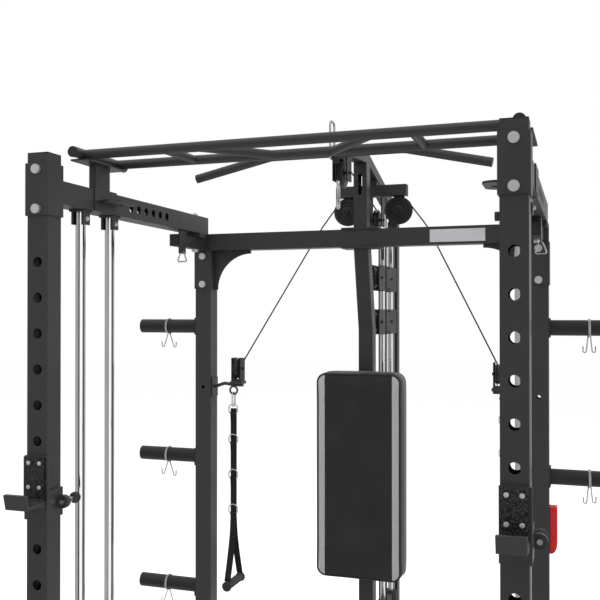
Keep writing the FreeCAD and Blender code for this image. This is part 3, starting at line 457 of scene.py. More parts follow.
@dataclass(frozen=True)
class MouldedFinish(Finish):
    """Moulded plastic or rubber with a fine spark texture; on some, highlights are painted pale on
    the raised pebbles.
    """

    edge: float = 0.001
    scale: float = 900.0
    dusty: float = 0.12
    # the colour of the rubbed edges, and of the highlights painted on the raised pebbles
    pale: Colour = (0.08, 0.08, 0.082)
    # how strongly highlights are painted pale on the raised pebbles
    painted_highlight: float = 0.0

    def dress(self, work: Work) -> None:
        """Adds the pebbles, the rubbed edges, the highlights painted pale on the raised pebbles
        and the dust.
        """
        texture = work.group(Effect.PEBBLE, Scale=self.scale)
        wear = work.group(Effect.EDGE_WEAR, Width=0.0008, Amount=0.25)
        dust = work.group(Effect.DUST, Amount=self.dusty)
        # painted highlight: the raised pebbles take the pale colour, which the rubbed edges' wear
        # takes too
        highlight_spots = work.tree.math("MULTIPLY", texture.outputs["Tone"], self.painted_highlight)
        pale = work.tree.math("MAXIMUM", wear.outputs["Mask"], highlight_spots)
        base = work.blend(pale, self.pale)
        work.blend(dust.outputs["Mask"], (0.25, 0.25, 0.24), base)
        work.rough(texture.outputs["Tone"], 0.05)
        work.relief(texture.outputs["Height"], 0.7)


@dataclass(frozen=True)
class WheelFinish(Finish):
    """A turned or moulded wheel with shallow rings and a hub on its flat sides."""

    roughness: float = 0.34
    edge: float = 0.0008
    bump: float = 0.0012
    plane: Point = (2.0, 0.0, 2.0)
    pale: Colour = (0.05, 0.05, 0.052)

    def dress(self, work: Work) -> None:
        """Adds the rings in the wheel's plane and a fine grain."""
        rings = work.group(Effect.RINGS, **dict(zip("XYZ", self.plane)))
        grain = work.group(Effect.PEBBLE, Scale=900.0)
        work.blend(work.tree.math("MULTIPLY", rings.outputs["Tone"], 0.5), self.pale)
        work.rough(grain.outputs["Tone"], 0.05)
        work.relief(rings.outputs["Height"])


@dataclass(frozen=True)
class HideFinish(Finish):
    """Coated upholstery cloth with a creased grain."""

    roughness: float = 0.5
    edge: float = 0.0
    bump: float = 0.00012
    light: Colour = (0.022, 0.022, 0.023)

    def dress(self, work: Work) -> None:
        """Adds the creased grain and a slight sheen."""
        work.tree.feed(work.surface, "Sheen Weight", 0.03)
        work.tree.feed(work.surface, "Sheen Roughness", 0.5)
        grain = work.group(Effect.HIDE)
        work.blend(work.tree.math("MULTIPLY", grain.outputs["Tone"], 0.5), self.light)
        work.rough(grain.outputs["Tone"], 0.06)
        work.relief(grain.outputs["Height"], 0.55)


@dataclass(frozen=True)
class WebbingFinish(Finish):
    """Woven strap with a soft nap, its hollows painted darker as shade and its raised threads
    lighter.
    """

    edge: float = 0.0
    # the lighter colour painted on the raised threads, over the shaded hollows
    thread: Colour = (0.026, 0.026, 0.027)

    def dress(self, work: Work) -> None:
        """Adds the weave, with painted shade in its hollows."""
        work.tree.feed(work.surface, "Specular IOR Level", 0.2)
        weave = work.group(Effect.WEAVE)
        # painted shade: the base colour stays in the weave's hollows and the lighter thread colour
        # covers the raised ribs
        work.blend(weave.outputs["Shade"], self.thread)
        work.relief(weave.outputs["Height"], 0.9)


@dataclass(frozen=True)
class TimberFinish(Finish):
    """A painted board whose fine fibre lines still show through."""

    bare: Colour = (0.2, 0.14, 0.08)
    fibre: Colour = (0.05, 0.045, 0.04)

    def dress(self, work: Work) -> None:
        """Adds the fibres and the worn edges."""
        fibre = work.group(Effect.BRUSHING, X=260.0, Y=260.0, Z=8.0)
        wear = work.group(Effect.EDGE_WEAR, Width=0.0015, Amount=0.5)
        base = work.blend(wear.outputs["Mask"], self.bare)
        work.blend(work.tree.math("MULTIPLY", fibre.outputs["Tone"], 0.3), self.fibre, base)
        work.relief(fibre.outputs["Height"], 0.8)


class Surface(Enum):
    """The finishes by what they cover."""

    COAT = CoatFinish("black_powder_coat", (0.033, 0.033, 0.0335), 0.42, edge=0.003)
    ZINC = PlatedFinish("bright_zinc", (0.72, 0.72, 0.73), 0.3, 0.6, 0.0006,
                        lines=(160.0, 160.0, 160.0))
    CHROME = PlatedFinish("chrome_plate", (0.84, 0.85, 0.86), 0.06, bump=0.000004,
                          dull=(0.72, 0.73, 0.74), grain=0.03)
    CHROME_BAR = PlatedFinish("chrome_bar", (0.80, 0.81, 0.82), 0.10, bump=0.000004,
                              lines=(20.0, 900.0, 900.0), dull=(0.7, 0.7, 0.71), grain=0.05)
    WIRE = PlatedFinish("satin_wire", (0.62, 0.62, 0.63), 0.3, edge=0.0, bump=0.00001,
                        dull=(0.5, 0.5, 0.51), grain=0.2)
    DARK = CoatFinish("dark_powder_coat", (0.011, 0.011, 0.0115), 0.46, edge=0.002, dusty=0.03)
    MOULDED = MouldedFinish("black_plastic", (0.018, 0.018, 0.019), 0.5)
    WHEEL_X = WheelFinish("wheel_plastic_x", (0.010, 0.010, 0.011), plane=(0.0, 2.0, 2.0))
    WHEEL_Y = WheelFinish("wheel_plastic_y", (0.010, 0.010, 0.011), plane=(2.0, 0.0, 2.0))
    RUBBER = MouldedFinish("black_rubber", (0.017, 0.017, 0.017), 0.7, scale=600.0)
    # the liner has highlights painted pale on its raised pebbles
    LINER = MouldedFinish("liner_plastic", (0.004, 0.004, 0.0042), 0.36, scale=220.0,
                          bump=0.0016, painted_highlight=0.5)
    SHEATH = MouldedFinish("cable_sheath", (0.012, 0.012, 0.0125), 0.32, edge=0.0, dusty=0.0)
    PLATE = PlatedFinish("silver_plate", (0.74, 0.75, 0.79), 0.4, 0.4,
                         lines=(14.0, 1100.0, 1100.0))
    RED = CoatFinish("red_cover", (0.60, 0.010, 0.011), edge=0.004, worn=(0.5, 0.09, 0.08),
                     wear=0.08, dusty=0.0)
    BOARD = TimberFinish("painted_board", (0.022, 0.021, 0.020), 0.6)
    HIDE = HideFinish("black_hide", (0.012, 0.012, 0.0125))
    STRIPE = HideFinish("grey_hide", (0.43, 0.43, 0.435), light=(0.46, 0.46, 0.465))
    BAND = HideFinish("side_hide", (0.085, 0.085, 0.087), light=(0.11, 0.11, 0.112))
    PIPING = HideFinish("piping_hide", (0.006, 0.006, 0.0062), 0.42, bump=0.00008,
                        light=(0.012, 0.012, 0.0122))
    # the webbing has painted shade in the weave's hollows, with its raised threads lighter
    WEBBING = WebbingFinish("black_webbing", (0.009, 0.009, 0.0095), 0.85, bump=0.0004)
    FOAM = MouldedFinish("grip_foam", (0.040, 0.040, 0.0405), 0.82, scale=1100.0, edge=0.0,
                         bump=0.00015)
    # the stitch thread has the same painted shade in the weave's hollows
    THREAD = WebbingFinish("stitch_thread", (0.06, 0.06, 0.062), 0.7, bump=0.0001,
                           thread=(0.09, 0.09, 0.092))


@dataclass
class Palette:
    """Every finished material, built once."""

    effects: Effects
    made: dict[Surface, bpy.types.Material] = field(default_factory=dict)

    def build(self) -> None:
        """Builds all the finishes."""
        for surface in Surface:
            self.made[surface] = surface.value.build(self.effects)

    def coat(self, piece: Piece, *surfaces: Surface) -> Piece:
        """Puts one or more finishes in a piece's material slots.

        Args:
            piece: the piece.
            surfaces: its finishes.

        Returns:
            The piece.
        """
        piece.data.materials.clear()
        for surface in surfaces:
            piece.data.materials.append(self.made[surface])
        return piece


# ---------------------------------------------------------------- mesh helpers
def new_piece(name: str, made: Mesh, smooth: bool = True) -> Piece:
    """Turns a bmesh into an object.

    Args:
        name: the piece's name.
        made: its faces, turned outwards and freed here.
        smooth: whether the faces are shaded smooth.

    Returns:
        The object, linked to the scene.
    """
    bmesh.ops.recalc_face_normals(made, faces=made.faces)
    mesh = bpy.data.meshes.new(name)
    made.to_mesh(mesh)
    made.free()
    for face in mesh.polygons:
        face.use_smooth = smooth
    piece = bpy.data.objects.new(name, mesh)
    bpy.context.scene.collection.objects.link(piece)
    return piece


def spaced(first: float, last: float, count: int) -> list[float]:
    """Evenly spaced numbers from first to last."""
    return [first + (last - first) * k / (count - 1) for k in range(count)]


def round_section(radius: float, sides: int = 10) -> list[Pair]:
    """A round section's points."""
    return [(radius * math.cos(TURN * k / sides), radius * math.sin(TURN * k / sides))
            for k in range(sides)]


def rounded_outline(wide: float, tall: float, radius: float, steps: int = 8) -> list[Pair]:
    """A closed outline of a rectangle with round corners.

    Args:
        wide: its width.
        tall: its height.
        radius: its corner radius.
        steps: the points in a corner.

    Returns:
        Points in order.
    """
    points = []
    for index, (sx, sy) in enumerate(((1, 1), (-1, 1), (-1, -1), (1, -1))):
        cx = sx * (wide / 2 - radius)
        cy = sy * (tall / 2 - radius)
        for step in range(steps + 1):
            turn = math.pi / 2 * (index + step / steps)
            points.append((cx + radius * math.cos(turn), cy + radius * math.sin(turn)))
    return points


def flat_section(wide: float, thick: float) -> list[Pair]:
    """A flat strap's section with rounded edges."""
    return rounded_outline(wide, thick, thick * 0.42, 2)


def skin(made: Mesh, rings: list[list[Vert]], closed: bool = False) -> None:
    """Joins rings of points with faces, which new_piece turns outwards.

    Args:
        made: the bmesh that takes the faces.
        rings: the rings in order, each with as many points.
        closed: whether the last ring joins the first; otherwise both ends are capped.
    """
    following = rings[1:] + rings[:1] if closed else rings[1:]
    for one, two in zip(rings, following):
        for k in range(len(one)):
            nxt = (k + 1) % len(one)
            made.faces.new((one[k], one[nxt], two[nxt], two[k]))
    if not closed:
        made.faces.new(rings[0])
        made.faces.new(rings[-1][::-1])


def sweep(made: Mesh, path: list[Vector], section: list[Pair], across: Vector,
          closed: bool = False) -> None:
    """Sweeps a closed section along a path.

    Args:
        made: the bmesh that takes the faces.
        path: the centre line's points.
        section: points of the section, along and square to the across direction.
        across: the section's first direction, held all along the path.
        closed: whether the path joins its own start.
    """
    rings = []
    count = len(path)
    for index, point in enumerate(path):
        before = path[(index - 1) % count] if closed or index else point
        after = path[(index + 1) % count] if closed or index < count - 1 else point
        tangent = (after - before).normalized()
        side = (across - tangent * across.dot(tangent)).normalized()
        lift = tangent.cross(side)
        rings.append([made.verts.new(point + side * a + lift * b) for a, b in section])
    skin(made, rings, closed)


def turned(made: Mesh, profile: list[Pair], foot: Vector, axes: tuple[Vector, Vector, Vector],
           sides: int) -> None:
    """Turns a profile about an axis, with as few sides as a hexagon or many.

    Args:
        made: the bmesh that takes the faces.
        profile: points of distance along the axis and radius.
        foot: where the profile's zero stands.
        axes: the axis and the two directions square to it.
        sides: the facets around.
    """
    along, one, two = axes
    skin(made, [[made.verts.new(foot + along * height + one * a + two * b)
                 for a, b in round_section(radius, sides)] for height, radius in profile])


def solids_of(node: Piece) -> tuple[Mesh, list[list[Vert]]]:
    """Splits a node's mesh into its separate solids, in the scene's frame.

    Args:
        node: the node.

    Returns:
        The mesh, which the caller frees, and the vertices of each solid.
    """
    whole = bmesh.new()
    whole.from_mesh(node.data)
    whole.transform(node.matrix_world)
    bmesh.ops.remove_doubles(whole, verts=whole.verts, dist=1e-6)
    seen: set[Vert] = set()
    groups = []
    for vert in whole.verts:
        if vert in seen:
            continue
        seen.add(vert)
        group, queue = [], [vert]
        while queue:
            one = queue.pop()
            group.append(one)
            for edge in one.link_edges:
                other = edge.other_vert(one)
                if other not in seen:
                    seen.add(other)
                    queue.append(other)
        groups.append(group)
    return whole, groups


def remade(node: str, make: Callable[[Mesh, Vector, Vector], bool]) -> Mesh:
    """Copies a node solid by solid, with some of its solids made anew.

    Args:
        node: the node's name.
        make: makes a solid anew inside its box, or answers False to have it copied.

    Returns:
        The copy.
    """
    whole, solids = solids_of(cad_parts[node])
    made = bmesh.new()
    for verts in solids:
        low = Vector([min(v.co[axis] for v in verts) for axis in range(3)])
        high = Vector([max(v.co[axis] for v in verts) for axis in range(3)])
        if not make(made, low, high):
            twins = {vert: made.verts.new(vert.co) for vert in verts}
            for face in {face for vert in verts for face in vert.link_faces}:
                made.faces.new([twins[vert] for vert in face.verts])
    whole.free()
    return made


# ---------------------------------------------------------------- steelwork
@dataclass
class Steelwork:
    """The nodes of the frame, the tower, the wheels and the fittings, in their finishes.

    A node that isn't listed is powder coated, and ball is how far a lock pin's ball reaches back.
    """

    palette: Palette
    ball: float = 0.0305
    finishes: dict[str, Surface] = field(default_factory=lambda: {
        "end_caps": Surface.MOULDED, "blank_plate": Surface.PLATE, "guide_rods": Surface.CHROME,
        "plate_pegs": Surface.DARK, "wheel_brackets": Surface.DARK, "cables": Surface.SHEATH,
        "rubber_bumpers": Surface.RUBBER, "guided_bar": Surface.CHROME_BAR,
        "cup_liners": Surface.LINER, "pad_board": Surface.BOARD, "lat_hook": Surface.CHROME,
        "load_collars": Surface.RUBBER,
    })

    def surface_of(self, name: str) -> Surface:
        """Gives the finish of a node.

        Args:
            name: the node's name.

        Returns:
            Its finish, which for a wheel follows the way it faces.
        """
        if "_wheel_" in name:
            low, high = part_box(name)
            return Surface.WHEEL_X if high.x - low.x < high.y - low.y else Surface.WHEEL_Y
        return self.finishes.get(name, Surface.COAT)

    def dress(self) -> int:
        """Puts each node in its finish.

        Returns:
            How many nodes were dressed.
        """
        for name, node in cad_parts.items():
            self.palette.coat(node, self.surface_of(name))
        for side in ("left", "right"):
            self.knob("lock_pin_" + side)
        return len(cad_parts)

    def knob(self, name: str) -> None:
        """Plates a lock pin and gives the ball on its end a moulded finish.

        Args:
            name: the pin's node.
        """
        node = self.palette.coat(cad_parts[name], Surface.CHROME, Surface.MOULDED)
        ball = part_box(name)[1].y - self.ball
        for face in node.data.polygons:
            face.material_index = int((node.matrix_world @ face.center).y > ball)


@dataclass
class BoltHeads:
    """Hexagon heads on washers in place of the plain round ones.

    The chamfer starts at shoulder of a head's height and leaves crown of its width. A solid is a
    head where it is round within the slack, shorter than stubby widths and narrower than largest.
    """

    palette: Palette
    node: str = "frame_bolts"
    across: float = 0.80
    washer: float = 0.32
    shoulder: float = 0.86
    crown: float = 0.82
    slack: float = 0.02
    stubby: float = 0.75
    largest: float = 0.05
    facets: int = 28
    corners: int = 6
    reach: float = 0.002
    clear: float = 0.0001

    def build(self) -> Piece:
        """Builds all the heads as one piece.

        Returns:
            The piece that takes the place of the bolts' node.
        """
        piece = new_piece("hex_heads", remade(self.node, self.head), False)
        self.palette.coat(piece, Surface.ZINC)
        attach(piece, "frame")
        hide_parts(self.node)
        return piece

    def axis_of(self, size: Vector) -> int | None:
        """Finds the axis of a short round head.

        Args:
            size: the size of a solid's box.

        Returns:
            The axis by number, or None when the solid is no head.
        """
        for axis in range(3):
            one, two = size[(axis + 1) % 3], size[(axis + 2) % 3]
            if (abs(one - two) < self.slack * one and size[axis] < self.stubby * one
                    and one < self.largest):
                return axis
        return None

    def head(self, made: Mesh, low: Vector, high: Vector) -> bool:
        """Makes a washer and a chamfered hexagon inside a head's box.

        Args:
            made: the bmesh that takes the faces.
            low: the box's lowest corner.
            high: the box's highest corner.

        Returns:
            False when the solid is no head.
        """
        axis = self.axis_of(high - low)
        if axis is None:
            return False
        centre = (low + high) / 2
        tall = high[axis] - low[axis]
        side = (axis + 1) % 3
        radius = (high - low)[side] / 2
        out = AXES[axis]
        if self.covered(centre + out * (tall / 2 + self.clear), out):
            out = -out
        axes = (out, AXES[side], out.cross(AXES[side]))
        base = centre - out * (tall / 2)
        foot = self.washer * tall
        flat = radius * self.across
        turned(made, [(0.0, radius), (foot, radius)], base, axes, self.facets)
        turned(made, [(foot, flat), (tall * self.shoulder, flat), (tall, flat * self.crown)],
               base, axes, self.corners)
        return True

    def covered(self, point: Vector, out: Vector) -> bool:
        """Tells whether steel stands right in front of a point, looking outwards."""
        depsgraph = bpy.context.evaluated_depsgraph_get()
        return bpy.context.scene.ray_cast(depsgraph, point, out, distance=self.reach)[0]


@dataclass
class SideCover:
    """The red cover with its lower outer corner rounded off, taller than wide by stretch."""

    palette: Palette
    node: str = "side_cover"
    corner: float = 0.019
    stretch: float = 1.6
    soft: float = 0.003
    steps: int = 11

    def build(self) -> Piece:
        """Builds the cover inside the box of its node.

        Returns:
            The cover.
        """
        low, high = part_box(self.node)
        outline = [(low.x, low.z), (low.x, high.z), (high.x - self.soft, high.z),
                   (high.x, high.z - self.soft)]
        for turn in spaced(0.0, math.pi / 2, self.steps):
            outline.append((high.x - self.corner * (1 - math.cos(turn)),
                            low.z + self.corner * self.stretch * (1 - math.sin(turn))))
        made = bmesh.new()
        skin(made, [[made.verts.new((x, y, z)) for x, z in outline] for y in (low.y, high.y)])
        piece = self.palette.coat(new_piece("red_cover", made, False), Surface.RED)
        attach(piece, "frame")
        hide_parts(self.node)
        return piece


@dataclass
class SpringClips:
    """Wound wire clips with hooked legs in place of the plain rings on the pegs.

    The radius of the new wire is wire and that of the plain ring's is ring; pitch is the step of
    a turn, which has so many facets. The legs of a clip on the left lean by splay and those of
    one on the right by slant of it, stand is how far a leg steps aside from the coil, and tip is
    the straight end beyond the hook's bend.
    """

    palette: Palette
    node: str = "chrome_rings"
    wire: float = 0.0020
    ring: float = 0.0015
    pitch: float = 0.0039
    turns: int = 2
    facets: int = 28
    sides: int = 8
    splay: float = 0.019
    slant: float = 0.25
    stand: float = 0.008
    hook: float = 0.0050
    tip: float = 0.014

    def build(self) -> Piece:
        """Builds the clips and copies the node's other rings.

        Returns:
            The piece that takes the place of the rings' node.
        """
        piece = new_piece("wire_rings", remade(self.node, self.clip))
        self.palette.coat(piece, Surface.WIRE)
        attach(piece, "frame")
        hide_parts(self.node)
        return piece

    def clip(self, made: Mesh, low: Vector, high: Vector) -> bool:
        """Winds one clip inside a ring's box.

        Args:
            made: the bmesh that takes the faces.
            low: the box's lowest corner.
            high: the box's highest corner.

        Returns:
            False for a ring between the posts, which is no clip.
        """
        if min(abs(low.x), abs(high.x)) <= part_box("rear_post_right")[1].x:
            return False
        way = 1 if low.x > 0 else -1
        outer = (high.y - low.y) / 2
        radius = outer - self.ring * 2 + self.wire
        start = (low.x if way > 0 else high.x) + way * self.ring
        centre = Vector((start, (low.y + high.y) / 2, high.z - outer))
        coil = []
        for part in spaced(0.0, 1.0, self.facets * self.turns + 1):
            turn = TURN * self.turns * part - math.pi / 2
            along = way * self.pitch * self.turns * part
            coil.append(centre + Vector((along, radius * math.cos(turn), radius * math.sin(turn))))
        section = round_section(self.wire, self.sides)
        sweep(made, coil, section, X_AXIS)
        lean = self.splay if way < 0 else self.splay * self.slant
        for end, side in ((coil[0], -1), (coil[-1], 1)):
            sweep(made, [end] + self.leg(end, way * side, side, low.z, lean), section, Y_AXIS)
        return True

    def leg(self, top: Vector, way: int, side: int, floor: float, lean: float) -> list[Vector]:
        """Bends one leg with its hooked end.

        Args:
            top: where the leg leaves the coil.
            way: the way along X that it leans.
            side: the side of the peg on which it starts.
            floor: the height of the hook's lowest point.
            lean: how far the foot stands off along X.

        Returns:
            The leg's points from the coil down.
        """
        hook = self.hook
        foot = Vector((top.x + way * lean, top.y + side * self.stand, floor + self.wire + hook))
        points = [top + (foot - top) * part for part in spaced(0.0, 1.0, 7)[1:]]
        middle = foot + Vector((way * hook, 0.0, 0.0))
        points += [middle + Vector((-way * hook * math.cos(turn), 0.0, -hook * math.sin(turn)))
                   for turn in spaced(0.0, math.pi, 8)[1:]]
        return points + [points[-1] + Vector((0.0, 0.0, self.tip))]


# ---------------------------------------------------------------- upholstery
@dataclass
class BackPad:
    """The upholstered back pad: a swollen cushion with stripes, a side band and piping.

    The front and back edges list how deep and how far in each ring of the block stands. The
    stripes begin at stripe_in from the middle and end at rim from the edge. A seam draws in faces
    that look forward by more than facing, within near of its line.
    """

    palette: Palette
    corner: float = 0.036
    shrink: float = 0.005
    side_share: float = 0.6
    front_edge: tuple[Pair, ...] = ((0.0, 0.007), (0.002, 0.003), (0.007, 0.0))
    back_edge: tuple[Pair, ...] = ((0.006, 0.0), (0.002, 0.002), (0.0, 0.006))
    voxel: float = 0.005
    quick_voxel: float = 0.008
    held: float = 0.004
    pressure: float = 4.0
    frames: int = 20
    travel: float = 0.004
    spare: float = 0.0004
    stripe_in: float = 0.1165
    seam: float = 0.0013
    stripe_groove: float = 0.0014
    band_groove: float = 0.0012
    band_seam: float = 0.7
    facing: float = 0.6
    stripe_facing: float = 0.4
    near: float = 0.00001
    cord: float = 0.0038
    cord_in: float = 0.0042
    cord_deep: float = 0.002
    cord_step: float = 0.02
    cord_passes: int = 4
    rim: float = 0.0095
    over: float = 0.004
    band: float = 0.042
    low: Vector = field(init=False)
    high: Vector = field(init=False)

    def __post_init__(self) -> None:
        """Takes the finished cushion's box from its node, let out at the sides."""
        over = Vector((self.over, 0.0, self.over))
        self.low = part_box("back_pad")[0] - over
        self.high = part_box("back_pad")[1] + over

    def build(self) -> Piece:
        """Builds the cushion and its piping.

        Returns:
            The cushion.
        """
        cushion = self.blank()
        self.swell(cushion)
        self.fit(cushion)
        self.sew(cushion)
        self.paint(cushion)
        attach(cushion, "frame")
        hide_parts("back_pad")
        self.pipe("pad_piping_front", cushion, self.low.y + self.cord_deep)
        self.pipe("pad_piping_back", cushion, self.high.y - self.cord_deep)
        return cushion

    def blank(self) -> Piece:
        """Makes the slightly smaller block that swells.

        Returns:
            The remeshed block.
        """
        wide, deep, tall = self.high - self.low
        middle = (self.low + self.high) / 2
        rows = [(-deep / 2 + self.shrink + step, inset) for step, inset in self.front_edge]
        rows += [(deep / 2 - step, inset) for step, inset in self.back_edge]
        made = bmesh.new()
        rings = []
        for y, inset in rows:
            less = 2 * (self.shrink * self.side_share + inset)
            outline = rounded_outline(wide - less, tall - less, self.corner - inset, 8)
            rings.append([made.verts.new(middle + Vector((x, y, z))) for x, z in outline])
        skin(made, rings)
        piece = new_piece("back_cushion", made)
        remesh = piece.modifiers.new("even", "REMESH")
        remesh.mode = "VOXEL"
        remesh.voxel_size = self.voxel
        remesh.use_smooth_shade = True
        self.settle(piece)
        return piece

    @staticmethod
    def settle(piece: Piece) -> None:
        """Bakes a piece's modifiers into its mesh.

        Args:
            piece: the piece.
        """
        depsgraph = bpy.context.evaluated_depsgraph_get()
        mesh = bpy.data.meshes.new_from_object(piece.evaluated_get(depsgraph))
        piece.modifiers.clear()
        old = piece.data
        piece.data = mesh
        mesh.name = piece.name
        bpy.data.meshes.remove(old)

    def swell(self, piece: Piece) -> None:
        """Swells the cushion as cloth under pressure, with its back held flat.

        Args:
            piece: the cushion.
        """
        start = [v.co.copy() for v in piece.data.vertices]
        back = [v.index for v in piece.data.vertices if v.co.y > self.high.y - self.held]
        piece.vertex_groups.new(name="back").add(back, 1.0, "REPLACE")
        cloth = piece.modifiers.new("stuffing", "CLOTH")
        cloth.settings.vertex_group_mass = "back"
        cloth.settings.use_pressure = True
        cloth.settings.uniform_pressure_force = self.pressure
        cloth.settings.effector_weights.gravity = 0.0
        cloth.settings.quality = 5
        cloth.point_cache.frame_start = 1
        cloth.point_cache.frame_end = self.frames
        scene = bpy.context.scene
        for number in range(1, self.frames + 1):
            scene.frame_set(number)
        self.settle(piece)
        scene.frame_set(1)
        for vertex, first in zip(piece.data.vertices, start):
            move = vertex.co - first
            vertex.co = first + move * (self.travel / (self.travel + move.length))
        calm = piece.modifiers.new("calm", "SMOOTH")
        calm.factor = 0.5
        calm.iterations = 3
        self.settle(piece)

    def fit(self, piece: Piece) -> None:
        """Stretches the cushion until it fills its box, short of a hair all round.

        Args:
            piece: the cushion.
        """
        for axis in range(3):
            values = [v.co[axis] for v in piece.data.vertices]
            least = min(values)
            room = self.high[axis] - self.low[axis] - 2 * self.spare
            scale = room / (max(values) - least)
            for vertex in piece.data.vertices:
                vertex.co[axis] = self.low[axis] + self.spare + (vertex.co[axis] - least) * scale

    def sew(self, piece: Piece) -> None:
        """Cuts the seams into the cushion and pulls them in.

        Args:
            piece: the cushion.
        """
        finer = piece.modifiers.new("finer", "SUBSURF")
        finer.levels = finer.render_levels = 1
        self.settle(piece)
        made = bmesh.new()
        made.from_mesh(piece.data)
        split = self.low.y + self.band
        lines = (-self.stripe_in, self.stripe_in)
        steps = (-1, 0, 1)
        cuts = [(line + self.stripe_groove * step, X_AXIS) for line in lines for step in steps]
        cuts += [(split + self.band_groove * step, Y_AXIS) for step in steps]
        for place, normal in cuts:
            every = made.verts[:] + made.edges[:] + made.faces[:]
            bmesh.ops.bisect_plane(made, geom=every, dist=1e-6, plane_co=normal * place,
                                   plane_no=normal)
        made.normal_update()
        for vert in made.verts:
            on_line = min(abs(vert.co.x - line) for line in lines) < self.near
            if on_line and vert.normal.y < -self.facing:
                vert.co.y += self.seam
            elif abs(vert.co.y - split) < self.near:
                vert.co -= vert.normal * self.seam * self.band_seam
        made.to_mesh(piece.data)
        made.free()
        for face in piece.data.polygons:
            face.use_smooth = True

    def within(self, point: Vector) -> bool:
        """Tells whether a point of the front lies inside the black rim.

        Args:
            point: the point.

        Returns:
            True when it does.
        """
        off = point - (self.low + self.high) / 2
        half = (self.high - self.low) / 2
        over_x = max(abs(off.x) - (half.x - self.corner), 0.0)
        over_z = max(abs(off.z) - (half.z - self.corner), 0.0)
        return math.hypot(over_x, over_z) < self.corner - self.rim

    def paint(self, piece: Piece) -> None:
        """Gives the centre, the stripes and the side band their own cloth.

        Args:
            piece: the cushion.
        """
        self.palette.coat(piece, Surface.HIDE, Surface.STRIPE, Surface.BAND)
        for face in piece.data.polygons:
            centre = face.center
            if centre.y > self.low.y + self.band:
                face.material_index = 2
            elif (face.normal.y < -self.stripe_facing and abs(centre.x) > self.stripe_in
                    and self.within(centre)):
                face.material_index = 1
            else:
                face.material_index = 0

    def pipe(self, name: str, cushion: Piece, y: float) -> None:
        """Sews a thin piping around the cushion, resting on its rounded edge.

        Args:
            name: the piping's name.
            cushion: the finished cushion.
            y: where the piping runs.
        """
        middle = (self.low + self.high) / 2
        wide, _, tall = self.high - self.low
        inset = self.cord_in
        outline = rounded_outline(wide - 2 * inset, tall - 2 * inset, self.corner - inset, 14)
        path = []
        for (x, z), (nx, nz) in zip(outline, outline[1:] + outline[:1]):
            count = max(1, round(math.hypot(nx - x, nz - z) / self.cord_step))
            for step in range(count):
                part = step / count
                point = Vector((middle.x + x + (nx - x) * part, y,
                                middle.z + z + (nz - z) * part))
                path.append(cushion.closest_point_on_mesh(point)[1])
        for _ in range(self.cord_passes):
            path = [(path[k - 1] + path[k] * 2 + path[(k + 1) % len(path)]) / 4
                    for k in range(len(path))]
        made = bmesh.new()
        sweep(made, path, round_section(self.cord), Y_AXIS, True)
        piece = self.palette.coat(new_piece(name, made), Surface.PIPING)
        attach(piece, "frame")


# ---------------------------------------------------------------- strap handles
class Side(Enum):
    """Left or right, as seen from the front."""

    LEFT = "left"
    RIGHT = "right"


